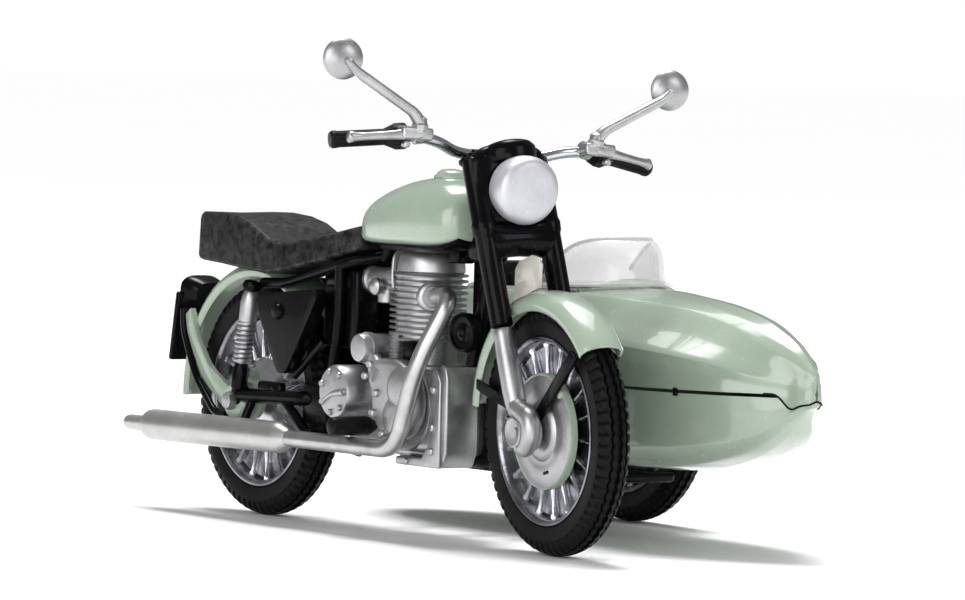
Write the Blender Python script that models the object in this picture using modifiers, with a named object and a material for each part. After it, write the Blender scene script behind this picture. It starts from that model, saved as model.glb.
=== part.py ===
"""Model motorcycle with sidecar, 1:18, as an assembly of separate pieces.

Working frame: millimetres, rear tyre's contact point at the origin, front of the
bike towards -Y, rider's left (the sidecar) towards +X, up +Z. The DATUM empty then
moves everything so that the finished model's box is centred over the origin.
"""
import bmesh
import bpy
from math import cos, pi, radians, sin
from mathutils import Matrix, Vector

MM = 0.001

# Driving dimensions, millimetres and degrees
WHEEL_RADIUS = 18.25
WHEELBASE = 77.8
RAKE = radians(20.0)
STEER_AT_REST = radians(-5.4)   # the bars stand turned a little to the right
STEER_PIVOT = (0.0, -62.3, 50.0)
FORK_X = 5.3                    # fork legs either side of the middle
FORK_AHEAD = 2.55               # fork legs ahead of the steering axis
BAR_ROLL = radians(5.4)         # the bar casting sits lower on its left end
AXLE_R = 0.75
BORE_R = 0.85
RIM_R = 13.6
SIDECAR_X = 31.2                # middle of the sidecar body
SIDECAR_WHEEL = (50.8, -26.2)
SEAM_Z = 24.0                   # joint line of the two hull shells
DATUM_SHIFT = (-12.174, 35.495, 0.014)

REAR_AXLE = (0.0, 0.0, WHEEL_RADIUS)
FRONT_AXLE = (0.0, -WHEELBASE, WHEEL_RADIUS)
SIDECAR_AXLE = (SIDECAR_WHEEL[0], SIDECAR_WHEEL[1], WHEEL_RADIUS)
SIDES = (("right", -1.0), ("left", 1.0))

for old in list(bpy.data.objects):
    bpy.data.objects.remove(old, do_unlink=True)

PARTS = bpy.data.collections.new("model_motorcycle_sidecar")
CUTTERS = bpy.data.collections.new("cutters")
for collection in (PARTS, CUTTERS):
    bpy.context.scene.collection.children.link(collection)


# Materials -----------------------------------------------------------------

def material(name, colour, roughness, metallic=0.0, alpha=1.0):
    made = bpy.data.materials.new(name)
    made.use_nodes = True
    shader = made.node_tree.nodes["Principled BSDF"]
    shader.inputs["Base Color"].default_value = (*colour, 1.0)
    shader.inputs["Roughness"].default_value = roughness
    shader.inputs["Metallic"].default_value = metallic
    shader.inputs["Alpha"].default_value = alpha
    made.diffuse_color = (*colour, alpha)
    return made


GREEN = ("sage_green_paint", (0.36, 0.47, 0.36), 0.25)
BLACK = ("gloss_black_paint", (0.008, 0.008, 0.009), 0.18)
SILVER = ("silver_paint", (0.45, 0.45, 0.46), 0.35, 0.8)
CHROME = ("bright_plating", (0.62, 0.62, 0.63), 0.2, 1.0)
SEATING = ("seat_black", (0.018, 0.018, 0.019), 0.55)
GRIP = ("grip_black", (0.012, 0.012, 0.012), 0.45)
TYRE = ("tyre_rubber", (0.02, 0.02, 0.02), 0.7)
CLEAR = ("clear_screen", (0.9, 0.9, 0.9), 0.1, 0.0, 0.35)
RED = ("red_lens", (0.35, 0.01, 0.01), 0.2)
PLATE = ("plate_ivory", (0.75, 0.74, 0.68), 0.5)


# Body empties --------------------------------------------------------------

def empty(name, place, parent=None, rotation=None):
    made = bpy.data.objects.new(name, None)
    PARTS.objects.link(made)
    made.parent = parent
    made.matrix_world = Matrix.Translation(Vector(place) * MM) @ (rotation or Matrix())
    return made


def world(made):
    """World matrix of an object from its parents, without a depsgraph update."""
    base = made.matrix_parent_inverse @ made.matrix_basis
    return world(made.parent) @ base if made.parent else made.matrix_basis.copy()


DATUM = empty("datum", (0, 0, 0))
STEERING = empty("steering_axis", STEER_PIVOT, None, Matrix.Rotation(-RAKE, 4, "X"))
FRONT_HUB = empty("front_wheel_axis", FRONT_AXLE)
REAR_HUB = empty("rear_wheel_axis", REAR_AXLE)
SIDECAR_HUB = empty("sidecar_wheel_axis", SIDECAR_AXLE)
made_pieces = []


def adopt(child, parent):
    """Parents child to parent where both stand, as Keep Transform does."""
    child.parent = parent
    child.matrix_parent_inverse = world(parent).inverted()


def steered(point):
    """Place beside the fork: (x, ahead of the steering axis, up along it)."""
    x, ahead, up = point
    _, y, z = STEER_PIVOT
    return (x, y + up * sin(RAKE) - ahead * cos(RAKE), z + up * cos(RAKE) + ahead * sin(RAKE))


# Shapes --------------------------------------------------------------------

def piece(name, data, look, parent=DATUM, matrix=None):
    """Puts one finished solid in the model under its body's empty."""
    made = bpy.data.objects.new(name, data)
    PARTS.objects.link(made)
    made.matrix_world = matrix or Matrix()
    if look is not None:
        known = bpy.data.materials.get(look[0])
        data.materials.append(known or material(*look))
    made_pieces.append((made, parent))
    return made


def hide_as_cutter(made):
    PARTS.objects.unlink(made)
    CUTTERS.objects.link(made)
    made.hide_render = True
    made.display_type = "WIRE"
    return made


def along(start, end):
    """Matrix that stands local +Z on the line from start to end."""
    a, b = Vector(start) * MM, Vector(end) * MM
    turn = (b - a).to_track_quat("Z", "Y").to_matrix().to_4x4()
    return Matrix.Translation(a) @ turn


def turned(name, profile, start, end, look, parent=DATUM, steps=16, closed=False):
    """Solid of revolution about the line start to end; profile is (radius, height)
    from the top of the axis down its outer side."""
    mesh = bpy.data.meshes.new(name)
    points = [(r * MM, 0.0, h * MM) for r, h in profile]
    edges = [(i, i + 1) for i in range(len(points) - 1)]
    if closed:
        edges.append((len(points) - 1, 0))
    mesh.from_pydata(points, edges, [])
    made = piece(name, mesh, look, parent, along(start, end))
    screw = made.modifiers.new("Turn", "SCREW")
    screw.steps = screw.render_steps = steps
    screw.use_merge_vertices = True
    screw.merge_threshold = 0.00001
    screw.use_smooth_shade = True
    return made


def cylinder(name, start, end, radius, look, parent=DATUM, steps=14):
    length = (Vector(end) - Vector(start)).length
    profile = [(0, length), (radius, length), (radius, 0), (0, 0)]
    return turned(name, profile, start, end, look, parent, steps)


def block(name, low, high, look, parent=DATUM, bevel=0.0, matrix=None):
    bpy.ops.mesh.primitive_cube_add(size=1)
    made = bpy.context.object
    data = made.data
    bpy.data.objects.remove(made)
    size = [(b - a) * MM for a, b in zip(low, high)]
    middle = [(a + b) / 2 * MM for a, b in zip(low, high)]
    data.transform(Matrix.Translation(middle) @ Matrix.Diagonal((*size, 1)))
    data.name = name
    made = piece(name, data, look, parent, matrix)
    if bevel:
        soften(made, bevel)
    return made


def soften(made, width, segments=2):
    bevel = made.modifiers.new("Bevel", "BEVEL")
    bevel.width = width * MM
    bevel.segments = segments
    bevel.limit_method = "ANGLE"


def rounded_route(points, radius, steps=4):
    """Points of a path whose corners are arcs of about the given radius."""
    route = [Vector(points[0])]
    for before, corner, after in zip(points, points[1:], points[2:]):
        corner = Vector(corner)
        into, out = Vector(before) - corner, Vector(after) - corner
        reach = min(radius, into.length / 2.1, out.length / 2.1)
        a, b = corner + into.normalized() * reach, corner + out.normalized() * reach
        for step in range(steps + 1):
            t = step / steps
            route.append(a * (1 - t) ** 2 + corner * 2 * t * (1 - t) + b * t * t)
    route.append(Vector(points[-1]))
    return route


def tube(name, points, radius, look, parent=DATUM, corner=3.0, sides=2, steps=4):
    """Round tube along a path, made a mesh so that others can be joined to it."""
    curve = bpy.data.curves.new(name + "_path", "CURVE")
    curve.dimensions = "3D"
    curve.bevel_depth = radius * MM
    curve.bevel_resolution = sides
    curve.use_fill_caps = True
    route = rounded_route(points, corner, steps)
    spline = curve.splines.new("POLY")
    spline.points.add(len(route) - 1)
    for knot, place in zip(spline.points, route):
        knot.co = (*(place * MM), 1.0)
    return curve_to_piece(name, curve, Matrix(), look, parent)


def curve_to_piece(name, curve, matrix, look, parent):
    guide = bpy.data.objects.new(name + "_guide", curve)
    PARTS.objects.link(guide)
    guide.matrix_world = matrix
    bpy.context.view_layer.update()
    seen = guide.evaluated_get(bpy.context.evaluated_depsgraph_get())
    mesh = bpy.data.meshes.new_from_object(seen)
    shape = bmesh.new()
    shape.from_mesh(mesh)
    bmesh.ops.remove_doubles(shape, verts=shape.verts, dist=0.000001)
    bmesh.ops.recalc_face_normals(shape, faces=shape.faces)
    shape.to_mesh(mesh)
    shape.free()
    place = guide.matrix_world.copy()
    bpy.data.objects.remove(guide)
    mesh.name = name
    return piece(name, mesh, look, parent, place)


def plate(name, outline, low_x, high_x, look, parent=DATUM):
    """Flat piece: an outline of (y, z) points given thickness along X."""
    curve = bpy.data.curves.new(name + "_outline", "CURVE")
    curve.dimensions = "2D"
    curve.fill_mode = "BOTH"
    curve.extrude = (high_x - low_x) / 2 * MM
    spline = curve.splines.new("POLY")
    spline.points.add(len(outline) - 1)
    for knot, (y, z) in zip(spline.points, outline):
        knot.co = (y * MM, z * MM, 0.0, 1.0)
    spline.use_cyclic_u = True
    lay = Matrix(((0, 0, 1, (low_x + high_x) / 2 * MM), (1, 0, 0, 0), (0, 1, 0, 0), (0, 0, 0, 1)))
    return curve_to_piece(name, curve, lay, look, parent)


def guard(name, centre, section, start, end, look, parent=DATUM, steps=18, wall=0.45):
    """Mudguard: a section of (x, radius) points swung about a wheel's centre, from
    one angle to the other, both measured from straight up towards the rear."""
    mesh = bpy.data.meshes.new(name)
    points = [(x * MM, r * sin(start) * MM, r * cos(start) * MM) for x, r in section]
    mesh.from_pydata(points, [(i, i + 1) for i in range(len(points) - 1)], [])
    made = piece(name, mesh, look, parent, Matrix.Translation(Vector(centre) * MM))
    screw = made.modifiers.new("Swing", "SCREW")
    screw.axis = "X"
    screw.angle = start - end
    screw.steps = screw.render_steps = steps
    screw.use_merge_vertices = False
    screw.use_smooth_shade = True
    screw.use_normal_calculate = True
    skin = made.modifiers.new("Wall", "SOLIDIFY")
    skin.thickness = wall * MM
    skin.offset = 0.0
    return made


def arc(centre, radius, start, end, steps):
    """Points of (y, z) round a centre, angles from +Y towards +Z in degrees."""
    y, z = centre
    turns = [radians(start + (end - start) * i / steps) for i in range(steps + 1)]
    return [(y + radius * cos(a), z + radius * sin(a)) for a in turns]


def loft(name, sections, look, parent=DATUM, closed=True, caps=True):
    """Skin through a row of sections with equal numbers of points: rings when closed,
    else open lines; caps fill in the first and the last."""
    count = len(sections[0])
    points = [Vector(p) * MM for ring in sections for p in ring]
    faces = []
    spans = count if closed else count - 1
    for row in range(len(sections) - 1):
        for i in range(spans):
            j = (i + 1) % count
            a, b = row * count, (row + 1) * count
            faces.append((a + i, a + j, b + j, b + i))
    if caps:
        faces.append(tuple(range(count - 1, -1, -1)))
        faces.append(tuple(range(len(points) - count, len(points))))
    mesh = bpy.data.meshes.new(name)
    mesh.from_pydata(points, [], faces)
    mesh.shade_smooth()
    mesh.set_sharp_from_angle(angle=radians(50))
    return piece(name, mesh, look, parent)


def combine(target, tool, operation):
    step = target.modifiers.new(operation.title(), "BOOLEAN")
    step.operation = operation
    step.solver = "EXACT"
    step.object = hide_as_cutter(tool)
    return target


def join(target, *tools):
    for tool in tools:
        combine(target, tool, "UNION")
    return target


def cut(target, *tools):
    for tool in tools:
        combine(target, tool, "DIFFERENCE")
    return target


def across(y, z, low_x, high_x):
    """Start and end of a line along X."""
    return (low_x, y, z), (high_x, y, z)


# Wheels --------------------------------------------------------------------

def wheel(prefix, axle, hub):
    """Rim with its hub and bore, and the tyre round it."""
    x, y, z = axle
    left = [(18.25, 0.55), (17.75, 1.75), (16.3, 2.5), (13.9, 2.2)]
    ring = list(reversed(left)) + [(r, -w) for r, w in left]
    line = across(y, z, x, x + 1)
    turned(prefix + "_tyre", ring, *line, TYRE, hub, 28, closed=True)
    half = [(BORE_R, 1.3), (3.0, 1.3), (3.3, 1.0), (12.0, 1.0), (12.7, 2.2), (RIM_R, 2.2)]
    ring = half + [(r, -w) for r, w in reversed(half)]
    turned(prefix + "_rim", ring, *line, CHROME, hub, 22, closed=True)


def axle_pin(name, axle, reach, nut, parent):
    """Plain pin with a round nut on each end."""
    profile = [(0, 2 * reach), (nut, 2 * reach), (nut, 2 * reach - 0.9), (AXLE_R, 2 * reach - 0.9),
               (AXLE_R, 0.9), (nut, 0.9), (nut, 0), (0, 0)]
    x, y, z = axle
    turned(name, profile, *across(y, z, x - reach, x + reach), SILVER, parent, 14)


# Steering ------------------------------------------------------------------

def fork():
    crown = block("fork_crown", (-6.4, -62.3 - 3.9, 55.3), (6.4, -62.3 + 1.2, 56.5), BLACK,
                  STEERING, 0.3, Matrix())
    tilt = (Matrix.Translation(Vector(STEER_PIVOT) * MM) @ Matrix.Rotation(-RAKE, 4, "X")
            @ Matrix.Translation(Vector(STEER_PIVOT) * -MM))
    crown.matrix_world = tilt
    lower = block("lower_yoke", (-FORK_X, -66.4, 41.7), (FORK_X, -60.7, 45.9), None, STEERING, 0.8, tilt)
    stem = cylinder("stem", steered((0, 0, -6)), steered((0, 0, 6.2)), 0.95, None, STEERING, 16)
    legs = []
    for side, sign in SIDES:
        profile = [(0, 25.4), (1.35, 25.4), (1.35, 15.9), (1.65, 15.6), (1.65, 4.0), (1.5, 0), (0, 0)]
        x = sign * FORK_X
        legs.append(turned(side + "_leg", profile, steered((x, FORK_AHEAD, -18.9)),
                           steered((x, FORK_AHEAD, 6.5)), None, STEERING, 12))
    join(crown, lower, stem, *legs)
    _, axle_y, axle_z = FRONT_AXLE
    for side, sign in SIDES:
        x = sign * FORK_X
        profile = [(0, 15.4), (1.3, 15.4), (1.45, 14.6), (1.5, 5.0), (1.2, 0), (0, 0)]
        slider = turned(side + "_fork_slider", profile, steered((x, FORK_AHEAD, -34.6)),
                        steered((x, FORK_AHEAD, -19.2)), SILVER, STEERING, 14)
        boss = cylinder(side + "_boss", *across(axle_y, axle_z, sign * 3.9, sign * 7.2), 2.1, None,
                        STEERING, 16)
        hole = cylinder(side + "_hole", *across(axle_y, axle_z, sign * 2, sign * 9), AXLE_R + 0.12,
                        None, STEERING, 14)
        join(slider, boss)
        cut(slider, hole)
    axle_pin("front_axle", FRONT_AXLE, 8.4, 1.35, STEERING)
    profile = [(BORE_R, 0), (8.4, 0), (8.4, 0.7), (7.4, 1.15), (2.6, 1.2), (BORE_R, 1.2)]
    profile = list(reversed(profile))
    turned("front_brake_plate", profile, *across(axle_y, axle_z, -1.6, -2.8), SILVER, STEERING, 22,
           closed=True)


def headlamp():
    """Lamp, the black shell behind it and the instrument pod over the top yoke."""
    nose, tail = (0, -70.9, 52.55), (0, -67.5, 52.95)
    profile = [(0, 3.4), (3.0, 3.25), (4.35, 2.75), (4.85, 2.1), (5.05, 1.6), (5.05, 0), (0, 0)]
    turned("headlamp", profile, tail, nose, SILVER, STEERING, 22)
    shell = turned("headlamp_shell", [(0, 2.6), (4.5, 2.6), (4.4, 1.3), (3.0, 0.4), (2.6, 0), (0, 0)],
                   (0, -64.5, 53.3), (0, -67.1, 53.0), BLACK, STEERING, 18)
    pod = turned("pod", [(0, 1.8), (2.4, 1.8), (3.2, 1.3), (3.3, 0), (0, 0)],
                 steered((0, 4.55, 7.35)), steered((0, 4.55, 9.2)), None, STEERING, 16)
    tilt = (Matrix.Translation(Vector(STEER_PIVOT) * MM) @ Matrix.Rotation(-RAKE, 4, "X")
            @ Matrix.Translation(Vector(STEER_PIVOT) * -MM))
    brow = block("brow", (-2.9, -62.3 - 7.0, 53.6), (2.9, -62.3 - 4.3, 58.0), None, STEERING, 0.5, tilt)
    join(shell, brow, pod)


def handlebar_line(x):
    """Middle of the bar's straight outer part at the distance x from the middle."""
    t = (abs(x) - 16.0) / 11.0
    return Vector((x, -61.0 + 2.5 * t, 59.3 - 1.5 * t))


def handlebar():
    half = [handlebar_line(26.0), handlebar_line(15.0), Vector((10.5, -60.8, 59.0)),
            Vector((6.5, -59.5, 57.5)), Vector((2.5, -59.3, 57.4))]
    mirrored = [Vector((-p.x, p.y, p.z)) for p in half]
    rolled = []
    rolled.append(tube("handlebar", mirrored + list(reversed(half)), 0.8, CHROME, STEERING, 3.0, 2, 3))
    for side, sign in SIDES:
        start, end = handlebar_line(sign * 16.2), handlebar_line(sign * 27.1)
        length = (end - start).length
        profile = [(0, length), (1.1, length), (1.3, length - 0.4), (1.25, 4.0), (1.5, 3.4),
                   (1.5, 0.2), (1.35, 0), (1.02, 0), (1.02, length - 0.8), (0, length - 0.8)]
        rolled.append(turned(side + "_grip", profile, start, end, GRIP, STEERING, 12))
        ahead = Vector((0, -2.75, 0.35))
        start, end = handlebar_line(sign * 13.6) + ahead, handlebar_line(sign * 25.8) + ahead
        length = (end - start).length
        profile = [(0, length), (0.6, length - 0.15), (0.85, length - 0.8), (0.6, length - 1.6),
                   (0.55, 5.0), (0.9, 4.4), (0.9, 0), (0, 0)]
        rolled.append(turned(side + "_lever", profile, start, end, SILVER, STEERING, 8))
        rolled.append(mirror(side, sign))
    turn = Matrix.Rotation(BAR_ROLL, 4, "Y")
    pivot = Vector((0, -59.3, 57.6)) * MM
    roll = Matrix.Translation(pivot) @ turn @ Matrix.Translation(-pivot)
    for made in rolled:
        for tool in [made] + [step.object for step in made.modifiers if step.type == "BOOLEAN"]:
            tool.matrix_world = roll @ tool.matrix_basis


def mirror(side, sign):
    """Round head on a straight stem that stands on the lever's perch."""
    foot = Vector((sign * 15.4, -63.6, 61.4))
    head = Vector((sign * 27.7, -61.9, 69.6))
    back = Vector((-0.17, -0.985, 0.0))
    shape = [(0, 1.35), (1.2, 1.25), (2.3, 0.9), (2.95, 0.3), (3.05, 0), (0, 0)]
    made = turned(side + "_mirror", shape, head - back * 0.2, head + back, SILVER, STEERING, 16)
    stem = tube(side + "_stem", [foot, foot + Vector((sign * 0.9, 0, 1.1)), head + back * 0.5], 0.55,
                None, STEERING, 1.0, 1, 2)
    base = cylinder(side + "_stem_foot", foot - Vector((0, 0, 0.3)), foot + Vector((0, 0, 0.7)), 0.95,
                    None, STEERING, 10)
    return join(made, stem, base)


def front_guard():
    centre = (0, -76.9, 18.95)
    section = [(-3.2, 17.3), (-2.9, 18.5), (-1.7, 19.3), (0, 19.6), (1.7, 19.3), (2.9, 18.5), (3.2, 17.3)]
    guard("front_mudguard", centre, section, radians(-51), radians(84), GREEN, STEERING, 16)
    for side, sign in SIDES:
        near, far = sorted((sign * 3.1, sign * 3.5))
        strap = [(-88.6, 28.9), (-89.6, 29.9), (-79.4, 21.4), (-75.9, 21.4), (-61.2, 24.4), (-61.2, 23.0),
                 (-76.6, 20.0), (-80.0, 20.0)]
        plate(side + "_front_stay", strap, near, far, BLACK, STEERING)
    outline = arc((-77.8, 18.25), 21.1, 55, 78, 6) + [(-73.6, 43.1), (-67.9, 42.6), (-65.9, 41.2)]
    plate("front_number_plate", outline, -0.35, 0.35, PLATE, STEERING)


# Bike ----------------------------------------------------------------------

def main_frame():
    """Head tube, backbone, down tube, seat rails and rear posts in one casting."""
    top, bottom = steered((0, 0, 5.2)), steered((0, 0, -3.5))
    made = cylinder("main_frame", bottom, top, 1.95, BLACK, DATUM, 14)
    spine = [(0, -61.8, 47.4), (0, -58.4, 44.9), (0, -34.2, 44.9), (0, -31.3, 41.2)]
    pieces = [tube("backbone", spine, 1.1, None, DATUM, 2.0, 2, 2),
              tube("down_tube", [(0, -61.4, 48.0), (0, -55.4, 27.1)], 1.0, None)]
    for side, sign in SIDES:
        x = sign * 4.9
        pieces.append(tube(side + "_rail", [(0, -31.4, 41.7), (x, -28.4, 40.5), (x, -11.5, 36.6),
                                            (x, -6.0, 36.6)], 0.85, None, DATUM, 2.0, 2, 2))
        pieces.append(tube(side + "_post", [(x, -26.4, 39.9), (x, -26.4, 30), (x, -23.4, 17.6)], 0.85,
                           None, DATUM, 2.0, 2, 2))
    pieces.append(cylinder("cross_tube", *across(-23.6, 18.4, -5.4, 5.4), 1.2, None, DATUM, 14))
    join(made, *pieces)
    cut(made, cylinder("head_bore", steered((0, 0, -5)), steered((0, 0, 7)), 1.15, None, DATUM, 14))


def tank():
    """Teardrop tank with a tunnel for the backbone, and its filler cap."""
    stations = [(-30.7, 2.6, 44.3, 47.0), (-32.5, 5.0, 43.6, 49.6), (-38.5, 6.9, 43.3, 52.3),
                (-46.0, 7.8, 43.3, 53.9), (-53.0, 7.7, 43.4, 53.9), (-57.0, 6.3, 44.4, 52.6),
                (-58.4, 3.6, 46.2, 50.6)]
    sections = []
    for y, half, low, high in stations:
        ring = []
        for i in range(16):
            a = 2 * pi * i / 16
            swell = 0.62 if sin(a) < 0 else 0.8
            x = half * abs(cos(a)) ** 0.8 * (1 if cos(a) > 0 else -1)
            up = abs(sin(a)) ** swell * (1 if sin(a) > 0 else -1)
            middle = low + (high - low) * 0.42
            reach = high - middle if up > 0 else middle - low
            ring.append((x, y, middle + up * reach))
        sections.append(ring)
    made = loft("fuel_tank", sections, GREEN)
    cut(made, block("tunnel", (-1.6, -64, 38), (1.6, -25, 46.5), None))
    profile = [(0, 0.9), (1.5, 0.75), (2.2, 0.3), (2.3, 0), (0, 0)]
    turned("fuel_cap", profile, (0, -48.6, 54.4), (0, -48.7, 55.4), GREEN, DATUM, 16)


def seat():
    """Stepped seat: a low rider's part and a raised pillion part, hollow over the wheel."""
    stations = [(-30.0, 3.7, 42.8, 45.6), (-21.5, 5.4, 40.5, 44.2), (-12.6, 7.5, 38.4, 43.2),
                (-9.4, 7.7, 38.2, 43.4), (-3.4, 7.6, 38.5, 45.8), (3.0, 7.4, 38.8, 46.9),
                (9.6, 7.2, 39.3, 46.9), (11.2, 7.0, 39.8, 46.2)]
    sections = []
    for y, half, low, high in stations:
        edge = min(0.9, half * 0.3)
        ring = [(-half + 0.3, y, low), (-half, y, low + 0.4), (-half + 0.1, y, high - edge),
                (-half + edge, y, high)]
        ring += [(-x, y, z) for x, y, z in reversed(ring)]
        sections.append(list(reversed(ring)))
    made = loft("seat", sections, SEATING)
    axle_y, axle_z = REAR_AXLE[1], REAR_AXLE[2]
    cut(made, cylinder("seat_hollow", *across(axle_y, axle_z, -5.2, 5.2), 21.95, None, DATUM, 48))


def rear_guard():
    """Rear mudguard with its moulded stays, number plate panel and tail lamp."""
    section = [(-3.5, 19.9), (-2.9, 20.8), (-1.5, 21.2), (0, 21.3), (1.5, 21.2), (2.9, 20.8), (3.5, 19.9)]
    made = guard("rear_mudguard", REAR_AXLE, section, radians(-40), radians(89), GREEN, DATUM, 16)
    for side, sign in SIDES:
        strap = [(17.3, 30.6), (18.9, 28.4), (13.2, 21.6), (5.6, 17.6), (4.9, 19.2), (12.0, 23.0)]
        near, far = sorted((sign * 3.3, sign * 4.2))
        join(made, plate(side + "_stay", strap, near, far, None))
    tilt = Matrix.Translation(Vector((0, 21.9, 29.6)) * MM) @ Matrix.Rotation(radians(10), 4, "X")
    block("number_plate_panel", (-4.4, -0.75, -6.8), (4.4, 0.75, 6.8), BLACK, DATUM, 0.4, tilt)
    turned("tail_lamp", [(0, 1.9), (0.9, 1.7), (1.35, 1.0), (1.35, 0), (0, 0)], (0, 22.6, 34.2),
           (0, 24.4, 33.9), RED, DATUM, 16)


def swinging_arm():
    points = [(-5.7, 0.6, 19.0), (-5.7, -19.8, 19.4), (5.7, -19.8, 19.4), (5.7, 0.6, 19.0)]
    made = tube("swinging_arm", points, 0.8, BLACK, DATUM, 2.0, 2, 3)
    for side, sign in SIDES:
        join(made, cylinder(side + "_lug", *across(0, WHEEL_RADIUS, sign * 4.75, sign * 6.6), 2.1, None,
                            DATUM, 16))
    for side, sign in SIDES:
        cut(made, cylinder(side + "_lug_hole", *across(0, WHEEL_RADIUS, sign * 4, sign * 8),
                           AXLE_R + 0.12, None, DATUM, 14))
    axle_pin("rear_axle", REAR_AXLE, 7.6, 1.3, DATUM)
    ring = [(BORE_R, 1.2), (2.9, 1.2), (3.1, 1.0), (3.1, 0), (BORE_R, 0)]
    turned("rear_hub_cover", ring, *across(0, WHEEL_RADIUS, -3.25, -4.45), GREEN, DATUM, 18, closed=True)
    for side, sign in SIDES:
        x = sign * 6.4
        profile = [(0, 15.2), (0.9, 15.2), (1.15, 14.4), (1.15, 8.6), (1.35, 8.2), (1.35, 2.4), (0.9, 2.0),
                   (0.9, 0), (0, 0)]
        turned(side + "_shock", profile, (x, -1.0, 20.7), (x, -3.9, 35.6), SILVER, DATUM, 12)


def boxes():
    """Toolboxes under the seat and the air box between them."""
    outline = [(-7.2, 33.4), (-8.0, 34.6), (-23.2, 36.0), (-24.2, 35.4), (-15.6, 23.6), (-14.0, 23.6)]
    for side, sign in SIDES:
        near, far = sorted((sign * 5.9, sign * 7.7))
        soften(plate(side + "_toolbox", outline, near, far, BLACK), 0.4)
    block("air_box", (-3.6, -29.6, 28.4), (3.6, -20.6, 38.6), BLACK, DATUM, 0.5)


def engine():
    block("crankcase", (-4.6, -54.3, 12.6), (5.2, -28.6, 25.2), SILVER, DATUM, 1.6)
    fins = []
    for i in range(4):
        z = 10.4 - i * 2.6
        fins += [(5.8, z), (5.8, z - 1.4), (4.8, z - 1.5), (4.8, z - 2.5)]
    turned("cylinder_barrel", [(0, 10.4)] + fins[:-1] + [(4.8, 0), (0, 0)], (0, -43.2, 25.5),
           (0, -43.2, 36.9), SILVER, DATUM, 18)
    turned("cylinder_head", [(0, 6.6), (3.6, 6.6), (4.1, 6.0), (4.1, 3.8), (5.8, 3.7), (5.8, 2.8), (4.8, 2.7),
                             (4.8, 1.8), (5.8, 1.7), (5.8, 0), (0, 0)],
           (0, -43.2, 36.2), (0, -43.2, 43.0), SILVER, DATUM, 18)
    cylinder("carburettor", (-1.0, -37.0, 38.4), (-1.0, -30.2, 38.0), 1.8, SILVER, DATUM, 16)
    cylinder("dynamo", *across(-37.4, 28.1, -8.5, -5.1), 2.15, SILVER, DATUM, 16)
    turned("gearbox_cover", [(0, 4.6), (3.4, 4.6), (4.0, 4.1), (4.0, 0), (0, 0)],
           *across(-32.4, 21.2, -4.9, -9.5), SILVER, DATUM, 18)
    outline = arc((-45.6, 20.9), 5.4, -200, 20, 10) + [(-38.6, 24.6), (-40.2, 25.2), (-49.4, 25.2)]
    soften(plate("timing_cover", outline, -8.2, -4.9, SILVER), 0.6)
    outline = (arc((-46.5, 19.2), 5.4, 90, 270, 8) + arc((-31.5, 19.8), 4.6, -90, 90, 8))
    soften(plate("primary_chaincase", outline, 5.5, 8.3, SILVER), 0.7)
    outline = [(-56.0, 26.4), (-54.7, 26.4), (-54.7, 12.3), (-44.4, 12.3), (-44.4, 11.3), (-56.0, 11.3)]
    soften(plate("engine_shield", outline, -5.8, 0.6, SILVER), 0.3)
    profile = [(0, 2.0), (2.2, 2.0), (2.95, 1.4), (2.95, 0.6), (2.0, 0), (0, 0)]
    turned("horn", profile, *across(-56.9, 31.4, -1.5, -3.5), BLACK, DATUM, 16)
    for side, sign in SIDES:
        start = sign * 5.0 if sign < 0 else 5.5
        cylinder(side + "_footrest", *across(-37.3 if sign < 0 else -39.5, 16.4 if sign < 0 else 12.6,
                                             start, sign * 13.3), 1.3, GRIP, DATUM, 12)


def exhaust():
    route = [(-2.6, -51.6, 36.8), (-5.6, -57.6, 36.8), (-9.5, -54.4, 26.5), (-9.5, -49.6, 13.6),
             (-9.5, -20.9, 13.4)]
    tube("exhaust_pipe", route, 1.3, CHROME, DATUM, 4.0, 3, 4)
    profile = [(0, 47.6), (1.2, 47.6), (1.2, 41.6), (2.0, 41.2), (2.35, 40.2), (2.4, 2.4), (2.2, 1.2),
               (1.5, 0), (0, 0)]
    turned("silencer", profile, (-9.5, -20.6, 13.4), (-9.5, 27.0, 12.9), SILVER, DATUM, 16)


# Sidecar -------------------------------------------------------------------

# Stations along the hull: y, height of the centre line, ridge half width and height,
# shoulder half width and height, chine half width and height, height of the keel
HULL = [(-98.0, 27.4, 0.6, 27.2, 0.9, 25.4, 0.8, 22.9, 22.5), (-96.4, 29.0, 1.3, 28.0, 1.6, 25.5, 1.4, 22.4, 22.0),
        (-94.0, 31.0, 2.3, 29.4, 3.0, 25.8, 2.7, 20.6, 20.0), (-90.4, 32.9, 3.4, 30.9, 6.1, 26.7, 5.5, 18.0, 17.2),
        (-84.6, 35.0, 4.2, 33.3, 10.2, 28.4, 9.4, 16.6, 14.4), (-76.0, 36.6, 4.8, 35.4, 13.6, 29.7, 12.8, 15.6, 12.2),
        (-66.0, 37.5, 6.4, 36.4, 15.0, 30.4, 14.2, 15.4, 11.2), (-56.0, 38.0, 9.0, 36.9, 15.3, 30.9, 14.6, 16.2, 11.1),
        (-40.0, 38.1, 10.8, 36.9, 15.3, 31.0, 14.6, 16.2, 11.1), (-22.0, 37.3, 10.3, 36.2, 15.1, 30.6, 14.4, 16.3, 11.2),
        (-8.0, 35.0, 8.4, 34.0, 13.3, 29.5, 12.6, 16.7, 11.9), (4.0, 31.6, 5.0, 30.8, 9.2, 28.0, 8.5, 17.6, 14.0),
        (13.0, 27.4, 0.9, 27.1, 1.3, 25.8, 1.1, 21.6, 21.0)]


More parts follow.
